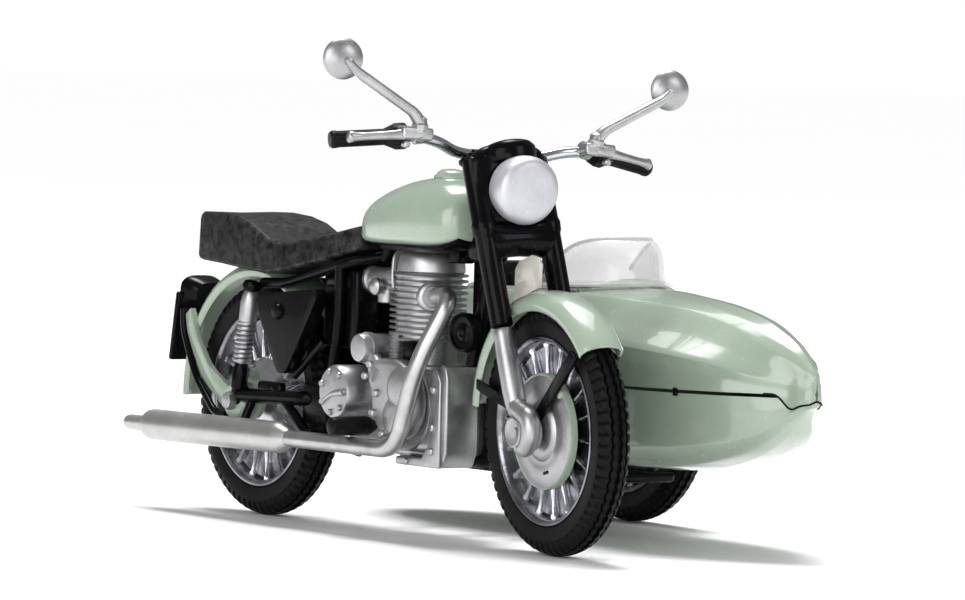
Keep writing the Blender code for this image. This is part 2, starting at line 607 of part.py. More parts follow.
def hull_section(station, upper):
    """Half outline from the middle outwards, mirrored to a full section."""
    y, top, ridge, ridge_z, shoulder, shoulder_z, chine, chine_z, keel = station
    waist = (shoulder + chine) / 2
    if upper:
        side = [(ridge * 0.55, top - (top - ridge_z) * 0.35), (ridge, ridge_z),
                ((ridge + shoulder) / 2, (ridge_z + shoulder_z) / 2), (shoulder, shoulder_z),
                (waist, SEAM_Z + 0.5)]
        middle = top
    else:
        side = [(chine * 0.5, keel + 0.12 * (chine_z - keel)), (chine * 0.88, keel + 0.5 * (chine_z - keel)),
                (chine, chine_z), (waist, SEAM_Z)]
        middle = keel
    right = [(SIDECAR_X - x, y, z) for x, z in reversed(side)]
    left = [(SIDECAR_X + x, y, z) for x, z in side]
    return right + [(SIDECAR_X, y, middle)] + left


def shell(name, upper):
    sections = [hull_section(station, upper) for station in HULL]
    if not upper:
        sections = [list(reversed(ring)) for ring in sections]
    made = loft(name, sections, GREEN, DATUM, closed=False, caps=True)
    skin = made.modifiers.new("Wall", "SOLIDIFY")
    skin.thickness = 0.8 * MM
    skin.offset = -1.0
    return made


def sidecar():
    deck = shell("upper_hull", True)
    cockpit = block("cockpit", (SIDECAR_X - 8.7, -50, 26), (SIDECAR_X + 8.7, -19.4, 56), None, DATUM, 4.0)
    cut(deck, cockpit)
    shell("lower_hull", False)
    cushion = block("sidecar_seat", (SIDECAR_X - 8.2, -38, 18.5), (SIDECAR_X + 8.2, -21, 23.0), SEATING,
                    DATUM, 0.8)
    lean = Matrix.Translation(Vector((SIDECAR_X, -23.8, 21)) * MM) @ Matrix.Rotation(radians(-4), 4, "X")
    back = block("backrest", (-7.8, -1.8, 0), (7.8, 1.6, 19.6), None, DATUM, 0.9, lean)
    join(cushion, back)
    screen()
    chassis()
    section = [(-3.3, 18.9), (-2.6, 19.5), (0, 19.8), (2.6, 19.5), (3.3, 18.9)]
    guard("sidecar_mudguard", SIDECAR_AXLE, section, radians(-70), radians(70), GREEN, DATUM, 14)


def screen():
    """Clear wrap-round screen in front of the cockpit."""
    sheet = []
    for foot, sag, grow in ((38.4, 0.9, 1.0), (45.2, 0.6, 0.93)):
        row = []
        for step in range(13):
            a = radians(-10 + 200 * step / 12)
            row.append((SIDECAR_X + 9.3 * grow * cos(a), -42.5 - 12.3 * grow * sin(a),
                        foot - sag * (1 - sin(a))))
        sheet.append(row)
    made = loft("windscreen", sheet, CLEAR, DATUM, closed=False, caps=False)
    skin = made.modifiers.new("Wall", "SOLIDIFY")
    skin.thickness = 0.7 * MM
    skin.offset = -1.0


def chassis():
    """Tube frame under the body, its axle and the struts to the bike."""
    loop = [(24.4, -49, 9.2), (24.4, 2.0, 9.2), (37.6, 2.0, 9.2), (37.6, -49, 9.2)]
    made = tube("sidecar_chassis", loop, 1.0, BLACK, DATUM, 6.0, 2, 3)
    wheel_x = SIDECAR_AXLE[0]
    parts = [tube("front_strut", [(9.6, -48.0, 13.4), (24.6, -48.0, 9.2)], 1.0, None),
             tube("rear_strut", [(7.2, -23.6, 18.0), (24.6, -18.0, 9.2)], 1.0, None),
             tube("front_cross", [(24.0, -48.0, 9.2), (38.0, -48.0, 9.2)], 1.0, None),
             block("axle_plate", (46.9, -30.0, 8.4), (47.9, -22.4, 20.4), None, DATUM, 0.2),
             block("axle_bridge", (24.0, -28.0, 8.5), (47.4, -24.4, 10.0), None, DATUM, 0.3),
             cylinder("stub", (47.3, SIDECAR_AXLE[1], WHEEL_RADIUS),
                      (wheel_x + 2.6, SIDECAR_AXLE[1], WHEEL_RADIUS), AXLE_R, None, DATUM, 20),
             cylinder("stub_nut", (wheel_x + 1.65, SIDECAR_AXLE[1], WHEEL_RADIUS),
                      (wheel_x + 2.8, SIDECAR_AXLE[1], WHEEL_RADIUS), 1.4, None, DATUM, 20)]
    join(made, *parts)


for prefix, axle, hub in (("front", FRONT_AXLE, FRONT_HUB), ("rear", REAR_AXLE, REAR_HUB),
                          ("sidecar", SIDECAR_AXLE, SIDECAR_HUB)):
    wheel(prefix, axle, hub)
fork()
headlamp()
handlebar()
front_guard()
main_frame()
tank()
seat()
rear_guard()
swinging_arm()
boxes()
engine()
exhaust()
sidecar()

adopt(FRONT_HUB, STEERING)
for hub in (STEERING, REAR_HUB, SIDECAR_HUB):
    adopt(hub, DATUM)
for made, parent in made_pieces:
    adopt(made, parent)
STEERING.matrix_basis = STEERING.matrix_basis @ Matrix.Rotation(STEER_AT_REST, 4, "Z")
DATUM.location = Vector(DATUM_SHIFT) * MM
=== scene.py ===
"""Looks of the small model motorcycle and sidecar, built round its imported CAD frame.

Shapes are made in millimetres with the rear tyre's contact point at the origin, the
front towards -Y, the sidecar towards +X and up +Z. settle() scales each finished
piece to metres, sets it in the frame's place and lets it ride on its body.
"""
from math import cos, pi, radians, sin
import bpy
from mathutils import Matrix, Vector


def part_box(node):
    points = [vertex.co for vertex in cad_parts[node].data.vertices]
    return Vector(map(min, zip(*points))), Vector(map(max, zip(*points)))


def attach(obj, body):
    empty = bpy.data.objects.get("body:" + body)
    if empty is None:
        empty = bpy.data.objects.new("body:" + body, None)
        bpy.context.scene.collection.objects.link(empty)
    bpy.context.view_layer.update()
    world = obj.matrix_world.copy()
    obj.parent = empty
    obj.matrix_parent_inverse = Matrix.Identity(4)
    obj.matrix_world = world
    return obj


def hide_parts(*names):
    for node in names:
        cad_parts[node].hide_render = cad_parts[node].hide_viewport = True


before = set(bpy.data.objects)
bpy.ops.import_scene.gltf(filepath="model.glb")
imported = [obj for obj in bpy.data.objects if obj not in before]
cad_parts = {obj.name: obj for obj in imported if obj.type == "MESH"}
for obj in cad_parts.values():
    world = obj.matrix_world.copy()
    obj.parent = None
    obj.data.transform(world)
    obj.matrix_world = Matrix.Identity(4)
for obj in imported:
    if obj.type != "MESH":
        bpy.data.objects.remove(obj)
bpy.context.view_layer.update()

MM = 0.001
WHEEL_R = 18.25
WHEELBASE = 77.8
RAKE = radians(20)
STEER_AT_REST = radians(-5.4)
PIVOT = Vector((0, -62.3, 50))
FORK_X, FORK_AHEAD = 5.3, 2.55
BAR_ROLL = radians(5.4)
SIDECAR_X = 31.2
SEAM_Z = 24.0
REAR_AXLE = Vector((0, 0, WHEEL_R))
FRONT_AXLE = Vector((0, -WHEELBASE, WHEEL_R))
SIDECAR_AXLE = Vector((50.8, -26.2, WHEEL_R))
SIDES = (("right", -1), ("left", 1))

low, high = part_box("rear_rim")
IN_FRAME = Matrix.Translation((low + high) / 2 - REAR_AXLE * MM) @ Matrix.Scale(MM, 4)
STEER_AXIS = Vector((0, sin(RAKE), cos(RAKE)))
STEERED = (IN_FRAME @ Matrix.Translation(PIVOT) @ Matrix.Rotation(STEER_AT_REST, 4, STEER_AXIS)
           @ Matrix.Translation(-PIVOT))
BAR_CENTRE = Vector((0, -59.3, 57.6))
ROLLED = (Matrix.Translation(BAR_CENTRE) @ Matrix.Rotation(BAR_ROLL, 4, "Y")
          @ Matrix.Translation(-BAR_CENTRE))


# Finishes -------------------------------------------------------------------

class Signal:
    """A shader output that plain arithmetic works on: each operator adds a Math node."""

    def __init__(self, finish, socket):
        self.finish, self.socket = finish, socket

    def math(self, operation, *values):
        node = self.finish.node("ShaderNodeMath", {"operation": operation}, dict(enumerate(values)))
        return Signal(self.finish, node.outputs[0])

    def __add__(self, other):
        return self.math("ADD", self, other)

    def __sub__(self, other):
        return self.math("SUBTRACT", self, other)

    def __rsub__(self, other):
        return self.math("SUBTRACT", other, self)

    def __mul__(self, other):
        return self.math("MULTIPLY", self, other)

    __radd__, __rmul__ = __add__, __mul__

    def above(self, edge, width):
        """0 below the edge and 1 a width beyond it."""
        ramp = self.finish.node("ShaderNodeMapRange", {"clamp": True},
                                {"Value": self, "From Min": edge, "From Max": edge + width})
        return Signal(self.finish, ramp.outputs[0])


class Finish:
    """A procedural material; the slot name it is given is kept on it but nothing here uses it."""

    def __init__(self, name, slot, **fixed):
        self.slot = slot
        self.made = bpy.data.materials.new(name)
        self.made.use_nodes = True
        self.tree = self.made.node_tree
        self.shader = self.tree.nodes["Principled BSDF"]
        for key, value in fixed.items():
            self.shader.inputs[key.replace("_", " ").title().replace("Ior", "IOR")].default_value = value
        self.where = self.node("ShaderNodeTexCoord", {}, {}).outputs["Object"]

    def node(self, kind, settings, inputs):
        made = self.tree.nodes.new(kind)
        for key, value in settings.items():
            setattr(made, key, value)
        for key, value in inputs.items():
            if isinstance(value, Signal):
                value = value.socket
            if isinstance(value, bpy.types.NodeSocket):
                self.tree.links.new(value, made.inputs[key])
            else:
                made.inputs[key].default_value = value
        return made

    def noise(self, scale, detail=2.0, rough=0.5, stretch=None):
        where = self.where
        if stretch:
            where = self.node("ShaderNodeMapping", {}, {"Vector": where, "Scale": stretch}).outputs[0]
        made = self.node("ShaderNodeTexNoise", {}, {"Vector": where, "Scale": scale, "Detail": detail,
                                                    "Roughness": rough})
        return Signal(self, made.outputs[0])

    def cells(self, scale):
        made = self.node("ShaderNodeTexVoronoi", {}, {"Vector": self.where, "Scale": scale})
        return Signal(self, made.outputs["Distance"])

    def mix(self, amount, first, second):
        first, second = [v if isinstance(v, bpy.types.NodeSocket) else (*v, 1.0) for v in (first, second)]
        made = self.node("ShaderNodeMix", {"data_type": "RGBA"}, {0: amount, 6: first, 7: second})
        return made.outputs[2]

    def drive(self, name, value):
        value = value.socket if isinstance(value, Signal) else value
        self.tree.links.new(value, self.shader.inputs[name])

    def bump(self, height, strength, distance):
        made = self.node("ShaderNodeBump", {}, {"Height": height, "Strength": strength,
                                                "Distance": distance * MM})
        self.drive("Normal", made.outputs[0])


def paint(name, slot, colour, shade, peel=0.1, gloss=0.5, lacquer=0.7):
    """Gloss enamel under lacquer, with orange peel, faint mottling and settled dust."""
    made = Finish(name, slot, coat_weight=lacquer, coat_roughness=0.04, specular_ior_level=gloss)
    mottle = made.noise(160, 3)
    dust = made.noise(3200, 1).above(0.72, 0.05)
    film = made.noise(420, 4, 0.6).above(0.5, 0.4)
    tint = made.mix(mottle.above(0.3, 0.4), shade, colour)
    pale = tuple(0.06 + 1.2 * c for c in colour)
    made.drive("Base Color", made.mix(dust * 0.35, tint, pale))
    made.drive("Roughness", 0.24 + film * 0.08 + dust * 0.3)
    made.bump(made.noise(620, 2) + made.noise(1500, 1) * 0.35, peel, 0.03)
    return made


def casting(name, slot, light, dark, rough, grain, metal=0.9):
    """Silver finish over a casting: bright grain, duller patches and darker patches at random."""
    made = Finish(name, slot)
    patch = made.noise(260, 4, 0.6)
    flake = made.noise(5200, 1)
    tint = made.mix(patch.above(0.3, 0.4), dark, light)
    grey = tuple(0.55 * c for c in dark)
    made.drive("Base Color", made.mix(flake.above(0.6, 0.15) * 0.35, tint, grey))
    made.drive("Roughness", rough + patch * 0.16 + flake * 0.08)
    made.drive("Metallic", metal - made.noise(900, 2).above(0.66, 0.1) * 0.2)
    made.bump(made.noise(2600, 2) + made.noise(700, 2) * 0.5, grain, 0.04)
    return made


def black_moulding(name, slot, tone, worn, rough, grain):
    """Black moulded plastic or rubber with a fine grain and paler rubbed patches."""
    made = Finish(name, slot, specular_ior_level=0.08)
    rubbed = made.noise(700, 4, 0.6).above(0.5, 0.4)
    specks = made.noise(3800, 1).above(0.7, 0.06)
    edge = Signal(made, made.node("ShaderNodeAttribute", {"attribute_name": "rub"}, {}).outputs["Fac"])
    patchy = edge * made.noise(700, 4, 0.7).above(0.36, 0.3)
    tint = made.mix(rubbed * 0.6 + specks * 0.3, tone, worn)
    made.drive("Base Color", made.mix(patchy, tint, (0.11, 0.108, 0.105)))
    made.drive("Roughness", rough + rubbed * 0.1 - specks * 0.1 + patchy * 0.15)
    made.bump(made.cells(2600) + made.noise(900, 3) * 0.8, grain, 0.05)
    return made


def clear_plastic(name, tone, clearer, opacity):
    """Clear moulding with a faint haze inside."""
    made = Finish(name, "clear_screen", coat_weight=0.6, coat_roughness=0.05, ior=1.46)
    haze = made.noise(240, 3)
    made.drive("Base Color", made.mix(haze, tone, clearer))
    made.drive("Roughness", 0.08 + haze * 0.1)
    made.drive("Alpha", opacity + haze * 0.12)
    return made


def lens(name, slot, deep, bright, rough, ribs):
    """Moulded lamp glass with fine ribs."""
    made = Finish(name, slot, coat_weight=1.0, coat_roughness=0.06, ior=1.5)
    wave = made.node("ShaderNodeTexWave", {"bands_direction": "X"},
                     {"Vector": made.where, "Scale": ribs, "Distortion": 1.2, "Detail": 1.0})
    rib = Signal(made, wave.outputs["Fac"])
    cloud = made.noise(500, 3)
    made.drive("Base Color", made.mix(rib * 0.25 + cloud * 0.6, deep, bright))
    made.drive("Roughness", rough + cloud * 0.12)
    made.bump(rib, 0.12, 0.05)
    return made


GREEN = paint("sage_enamel", "sage_green_paint", (0.315, 0.392, 0.308), (0.288, 0.362, 0.284))
BLACK = paint("black_enamel", "gloss_black_paint", (0.003, 0.003, 0.004), (0.0015, 0.0015, 0.002), 0.2,
              gloss=0.06, lacquer=0.08)
SILVER = casting("silver_casting", "silver_paint", (0.50, 0.50, 0.51), (0.34, 0.34, 0.35), 0.26, 0.22)
SATIN = casting("satin_silencer", "silver_paint", (0.56, 0.56, 0.55), (0.47, 0.47, 0.465), 0.26, 0.12)
BRIGHT = casting("bright_plating", "bright_plating", (0.66, 0.66, 0.69), (0.48, 0.48, 0.52), 0.1, 0.2, 1.0)
# Darker copy of the bright plating for the wheel discs: painted shade for the hollow between the spokes.
SHADED_PLATING = casting("plating_painted_shade", "bright_plating", (0.40, 0.40, 0.44), (0.10, 0.10, 0.11), 0.12, 0.5, 1.0)
SEATING = black_moulding("seat_moulding", "seat_black", (0.005, 0.005, 0.0055), (0.009, 0.0088, 0.009), 0.42, 0.14)
GRIPPY = black_moulding("grip_moulding", "grip_black", (0.008, 0.008, 0.008), (0.02, 0.02, 0.02), 0.3, 0.08)
RUBBER = black_moulding("tyre_rubber_look", "tyre_rubber", (0.0045, 0.0045, 0.005),
                        (0.009, 0.009, 0.0095), 0.42, 0.2)
CLEAR = clear_plastic("clear_screen_look", (0.80, 0.78, 0.80), (0.92, 0.90, 0.92), 0.26)
EDGE = clear_plastic("screen_edge_look", (0.34, 0.40, 0.33), (0.56, 0.62, 0.54), 0.40)
LAMP = casting("lamp_silver", "silver_paint", (0.60, 0.60, 0.64), (0.50, 0.50, 0.54), 0.34, 0.14, 0.6)
RED = lens("red_lens_look", "red_lens", (0.16, 0.004, 0.004), (0.42, 0.012, 0.01), 0.12, 300)
IVORY = paint("ivory_enamel", "plate_ivory", (0.62, 0.60, 0.54), (0.55, 0.53, 0.47))
BRIGHT_SATIN = casting("satin_pipe", "bright_plating", (0.58, 0.58, 0.58), (0.40, 0.40, 0.41), 0.2, 0.14, 0.95)


# Shaping --------------------------------------------------------------------

def take(*objects):
    """Selects only these, the first of them active."""
    for chosen in list(bpy.context.selected_objects):
        chosen.select_set(False)
    for made in objects:
        made.select_set(True)
        bpy.context.view_layer.objects.active = objects[0]


def named(name):
    """Leaves edit mode and names the new piece, its place applied to its mesh."""
    if bpy.context.mode != "OBJECT":
        bpy.ops.object.mode_set(mode="OBJECT")
    made = bpy.context.object
    made.name = made.data.name = name
    take(made)
    bpy.ops.object.transform_apply(location=True, rotation=True, scale=True)
    return made


def tidy_mesh(made, merge=0.0005):
    """Closes doubled seams and points every face outwards."""
    take(made)
    bpy.ops.object.mode_set(mode="EDIT")
    bpy.ops.mesh.select_all(action="SELECT")
    bpy.ops.mesh.remove_doubles(threshold=merge)
    bpy.ops.mesh.normals_make_consistent(inside=False)
    bpy.ops.object.mode_set(mode="OBJECT")
    return made


def modify(made, kind, **settings):
    """Adds one modifier and applies it."""
    take(made)
    step = made.modifiers.new(kind.title(), kind)
    for key, value in settings.items():
        setattr(step, key, value)
    bpy.ops.object.modifier_apply(modifier=step.name)
    return made


def along(start, end):
    """Matrix that stands local +Z on the line from start to end."""
    start, end = Vector(start), Vector(end)
    turn = (end - start).to_track_quat("Z", "Y").to_matrix().to_4x4()
    return Matrix.Translation(start) @ turn


def turned(name, profile, start, end, sides=40):
    """Solid turned about the line start to end: a disc drawn out through the profile's
    (radius, height) stations."""
    take()
    (radius, height), *stations = profile
    bpy.ops.mesh.primitive_circle_add(vertices=sides, radius=radius, fill_type="NGON",
                                      location=(0, 0, height), enter_editmode=True)
    for wide, up in stations:
        bpy.ops.mesh.extrude_region_move(TRANSFORM_OT_translate={"value": (0, 0, up - height)})
        scale = wide / radius
        bpy.ops.transform.resize(value=(scale, scale, 1), center_override=(0, 0, up))
        radius, height = wide, up
    made = tidy_mesh(named(name))
    made.data.transform(along(start, end))
    return made


def swung(name, section, centre, start, end, steps):
    """A closed section of (x, radius) points swung about an X axis through centre, angles
    measured from straight up towards the rear."""
    take()
    bpy.ops.mesh.primitive_circle_add(vertices=len(section), radius=1, enter_editmode=False)
    made = named(name)
    for corner, (x, r) in zip(made.data.vertices, section):
        corner.co = (x, r * sin(start), r * cos(start))
    bpy.ops.object.mode_set(mode="EDIT")
    bpy.ops.mesh.select_all(action="SELECT")
    bpy.ops.mesh.spin(steps=steps, angle=end - start, center=(0, 0, 0), axis=(1, 0, 0))
    made = tidy_mesh(named(name))
    made.data.transform(Matrix.Translation(Vector(centre)))
    return made


def ring(name, section, axle, steps=96):
    """Closed section of (x, radius) points spun right round an axle."""
    return swung(name, section, axle, 0, 2 * pi, steps)


def rounded_route(points, radius, steps=6):
    """Points of a path whose corners are arcs of about the given radius."""
    route = [Vector(points[0])]
    for before, corner, after in zip(points, points[1:], points[2:]):
        corner = Vector(corner)
        into, out = Vector(before) - corner, Vector(after) - corner
        reach = min(radius, into.length / 2.1, out.length / 2.1)
        a, b = corner + into.normalized() * reach, corner + out.normalized() * reach
        route += [a.lerp(corner, t).lerp(corner.lerp(b, t), t) for t in (i / steps for i in range(steps + 1))]
    route.append(Vector(points[-1]))
    return route


def tube(name, points, radius, corner=3.0, sides=5, ends=None, steps=6):
    """Round bar along a path; ends gives its first and last radius when it tapers."""
    take()
    curve = bpy.data.curves.new(name, "CURVE")
    curve.dimensions = "3D"
    curve.bevel_depth = 1.0
    curve.bevel_resolution = sides
    curve.use_fill_caps = True
    route = rounded_route(points, corner, steps)
    spline = curve.splines.new("POLY")
    spline.points.add(len(route) - 1)
    first, last = ends or (radius, radius)
    for i, (knot, place) in enumerate(zip(spline.points, route)):
        knot.co = (*place, 1)
        knot.radius = first + (last - first) * i / (len(route) - 1)
    made = bpy.data.objects.new(name, curve)
    bpy.context.scene.collection.objects.link(made)
    take(made)
    bpy.ops.object.convert(target="MESH")
    return tidy_mesh(named(name))


def block(name, low, high, bevel, segments=3, matrix=None):
    """Box with every edge rounded."""
    take()
    low, high = Vector(low), Vector(high)
    bpy.ops.mesh.primitive_cube_add(size=1, location=(low + high) / 2, scale=high - low)
    made = named(name)
    bpy.ops.object.mode_set(mode="EDIT")
    bpy.ops.mesh.bevel(offset=bevel, segments=segments, affect="EDGES")
    made = named(name)
    made.data.transform(matrix or Matrix())
    return made


def prism(name, outline, low_x, high_x, bevel=0.0, segments=3):
    """Plate: an outline of (y, z) points drawn out along X, its rims rounded."""
    take()
    bpy.ops.mesh.primitive_circle_add(vertices=len(outline), radius=1, fill_type="NGON")
    made = named(name)
    for corner, (y, z) in zip(made.data.vertices, outline):
        corner.co = (low_x, y, z)
    bpy.ops.object.mode_set(mode="EDIT")
    bpy.ops.mesh.extrude_region_move(TRANSFORM_OT_translate={"value": (high_x - low_x, 0, 0)})
    tidy_mesh(named(name))
    if bevel:
        modify(made, "BEVEL", width=bevel, segments=segments, limit_method="ANGLE", angle_limit=radians(50))
    return made


def skin(name, sections, closed=True):
    """A grid drawn over rows of points: closed rows are rings whose ends are capped."""
    take()
    rows = [list(row) + ([row[0]] if closed else []) for row in sections]
    bpy.ops.mesh.primitive_grid_add(x_subdivisions=len(rows[0]) - 1, y_subdivisions=len(rows) - 1, size=1)
    made = named(name)
    for corner, place in zip(made.data.vertices, [p for row in rows for p in row]):
        corner.co = place
    tidy_mesh(made)
    if closed:
        bpy.ops.object.mode_set(mode="EDIT")
        bpy.ops.mesh.select_all(action="SELECT")
        bpy.ops.mesh.fill_holes(sides=0)
        bpy.ops.object.mode_set(mode="OBJECT")
        tidy_mesh(made)
    return made


def soft_line(points, cuts=(0.16, 0.25)):
    """A polyline with its corners cut back, once for each share in cuts."""
    points = [Vector(p) for p in points]
    for cut in cuts:
        cornered = [points[0]]
        for a, b in zip(points, points[1:]):
            cornered += [a.lerp(b, cut), a.lerp(b, 1 - cut)]
        points = cornered + [points[-1]]
    return points


def between(rows, steps):
    """Rows of numbers filled in smoothly, steps to each gap."""
    filled = []
    last = len(rows) - 1
    for i in range(last):
        near = [rows[max(i - 1, 0)], rows[i], rows[i + 1], rows[min(i + 2, last)]]
        for step in range(steps):
            t = step / steps
            filled.append([b + 0.5 * t * (c - a + t * (2 * a - 5 * b + 4 * c - d + t * (3 * (b - c) + d - a)))
                           for a, b, c, d in zip(*near)])
    return filled + [list(rows[-1])]


def arc(centre, radius, start, end, steps):
    """Points of (y, z) round a centre, angles from +Y towards +Z in degrees."""
    turns = [radians(start + (end - start) * i / steps) for i in range(steps + 1)]
    return [(centre[0] + radius * cos(a), centre[1] + radius * sin(a)) for a in turns]


def copies(name, model, places):
    """The model repeated at each place, joined into one piece; the model itself goes."""
    made = []
    for place in places:
        one = bpy.data.objects.new(name, model.data.copy())
        bpy.context.scene.collection.objects.link(one)
        one.data.transform(place)
        made.append(one)
    bpy.data.objects.remove(model)
    return merged(name, *made)


def merged(name, *parts):
    take(*parts)
    bpy.ops.object.join()
    return named(name)


def cut_out(made, tool):
    modify(made, "BOOLEAN", operation="DIFFERENCE", solver="EXACT", object=tool)
    bpy.data.objects.remove(tool)
    return made


def settle(made, look, body="bike", instead=(), smooth=38):
    """Finishes a piece: smooth shading, its place in metres, its finish and its body."""
    take(made)
    bpy.ops.object.shade_smooth_by_angle(angle=radians(smooth))
    made.data.transform(STEERED if body in ("steering", "front_wheel") else IN_FRAME)
    made.data.materials.clear()
    made.data.materials.append(look.made)
    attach(made, body)
    if instead:
        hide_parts(*([instead] if isinstance(instead, str) else instead))
    return made


def steered(x, ahead, up):
    """Place beside the fork: x, ahead of the steering axis, up along it."""
    return Vector((x, PIVOT.y + up * sin(RAKE) - ahead * cos(RAKE), PIVOT.z + up * cos(RAKE) + ahead * sin(RAKE)))


def across(y, z, x0, x1):
    return (x0, y, z), (x1, y, z)


def bolt(radius=0.5, height=0.4):
    """Round-topped screw head standing on +Z."""
    return turned("bolt", [(radius, 0), (radius, height * 0.6), (radius * 0.7, height), (radius * 0.2, height)],
                  (0, 0, 0), (0, 0, 1), 10)


# Wheels ---------------------------------------------------------------------

LOBES = 66


def tyre_section():
    """Half the section from the bead out to the middle rib, with grooves between the ribs."""
    side = [(2.05, 13.75), (2.3, 14.0), (2.42, 14.8), (2.5, 15.6), (2.48, 16.1), (2.42, 16.3), (2.36, 16.9),
            (2.12, 17.35), (1.86, 17.6), (1.66, 17.78)]
    tread = [(1.30, 17.92), (1.26, 17.42), (0.98, 17.46), (0.94, 18.05), (0.36, 18.2), (0.32, 17.62),
             (0.0, 17.62)]
    return side + tread


def tyre(prefix, axle, body):
    """Rounded tyre whose grooves are scalloped and whose shoulders are notched."""
    half = tyre_section()
    section = half + [(-x, r) for x, r in reversed(half[:-1])]
    made = ring(prefix + "_tyre_look", section, (0, 0, 0), LOBES * 4)
    for corner in made.data.vertices:
        x, y, z = corner.co
        r = Vector((y, z)).length
        turn = Vector((y, z)).angle_signed(Vector((0, 1))) / (2 * pi) * LOBES
        lobe = abs(sin(pi * turn + (0 if abs(x) > 0.7 else pi / 2)))
        if r > 17.3 and abs(x) < 2.2:
            away = 1 if x > 0 else -1
            corner.co.x = x + away * (lobe - 0.5) * (0.3 if abs(x) > 0.1 else 0)
        if 16.2 < r < 17.85 and abs(x) > 1.4:
            corner.co *= 1 - 0.014 * (1 - lobe) ** 2
            corner.co.x = x * (1 - 0.10 * (1 - lobe) ** 2)
    made.data.transform(Matrix.Translation(axle))
    settle(made, RUBBER, body, prefix + "_tyre", 28)


def wheel(prefix, axle, body):
    """Plated disc with spokes in relief: narrow ridges that spread in pairs from the hub."""
    tyre(prefix, axle, body)
    half = [(0.85, 1.45), (2.4, 1.45), (2.6, 1.15), (3.4, 0.8), (6.2, 0.42), (11.8, 0.34), (12.3, 0.5),
            (12.6, 1.1), (12.85, 1.8), (13.1, 2.2), (13.4, 2.36), (13.7, 2.3), (13.75, 1.9)]
    section = [(x, r) for r, x in half] + [(-x, r) for r, x in reversed(half)]
    disc = ring(prefix + "_rim_look", section, axle, 90)
    # The wheel disc takes the darkened plating, painted shade inside the wheel.
    settle(disc, SHADED_PLATING, body, prefix + "_rim", 30)
    ridge = skin("ridge", [[(t * cos(a), w * sin(a), z) for a in (2 * pi * i / 8 for i in range(8))]
                           for z, w, t in ((6.4, 0.34, 0.75), (7.8, 0.30, 0.72), (10.6, 0.20, 0.62),
                                           (12.0, 0.20, 0.62), (12.25, 0.34, 0.8), (12.75, 0.34, 0.8),
                                           (12.95, 0.2, 0.5))])
    places = []
    for i in range(36):
        lean = radians(6.5 if i % 2 else -6.5)
        spread = radians(10 * i + (3.0 if i % 2 else -3.0))
        lie = Matrix.Translation((0, 0, 7)) @ Matrix.Rotation(lean, 4, "X") @ Matrix.Translation((0, 0, -7))
        places += [Matrix.Translation(axle + Vector((sign * 0.62, 0, 0))) @ Matrix.Rotation(spread, 4, "X") @ lie
                   for sign in (-1, 1)]
    settle(copies(prefix + "_spokes", ridge, places), BRIGHT, body)
    hub = [(6.6, 0.3), (6.6, 0.7), (5.4, 1.0), (3.6, 1.2), (3.2, 1.5), (2.0, 1.6), (1.6, 1.75), (1.6, 1.95),
           (1.2, 2.05)]
    flange = turned("flange", hub, (0, 0, 0), (1, 0, 0), 48)
    facing = [Matrix.Translation(axle) @ Matrix.Rotation(angle, 4, "Z") for angle in (0, pi)]
    return flange, facing


for prefix, axle, body in (("front", FRONT_AXLE, "front_wheel"), ("rear", REAR_AXLE, "rear_wheel"),
                           ("sidecar", SIDECAR_AXLE, "sidecar_wheel")):
    flange, facing = wheel(prefix, axle, body)
    settle(copies(prefix + "_hub_flanges", flange, facing[:1] if prefix == "front" else facing), BRIGHT, body)


# Fork and front end -----------------------------------------------------------

def brake_plate():
    start, end = across(FRONT_AXLE.y, WHEEL_R, -1.35, -2.35)
    face = [(8.2, 0.1), (8.2, 1.05), (8.05, 1.15), (7.0, 1.2), (6.6, 1.3), (5.4, 1.3), (5.0, 1.2), (4.4, 1.25),
            (4.0, 1.7), (3.4, 1.9), (1.2, 1.95)]
    settle(turned("brake_plate", face, start, end, 64), SILVER, "steering", "front_brake_plate")
    lip = [(-1.4, 8.15), (-1.4, 8.5), (-2.3, 8.52), (-2.6, 8.36), (-2.5, 8.1)]
    edge = ring("edge", lip, FRONT_AXLE, 72)
    tab = block("tab", (-3.0, -1.3, 7.3), (-1.6, 1.3, 8.7), 0.3, 3,
                Matrix.Translation(FRONT_AXLE) @ Matrix.Rotation(radians(38), 4, "X"))
    settle(merged("brake_plate_edge", edge, tab), GREEN, "steering")
    # Thin black block of painted shade inside a slot in the brake plate.
    slot = block("brake_slot_shade", (-2.72, -0.8, -6.3), (-2.5, 0.8, -5.8), 0.09, 2,
                 Matrix.Translation(FRONT_AXLE) @ Matrix.Rotation(radians(-14), 4, "X"))
    settle(slot, BLACK, "steering")


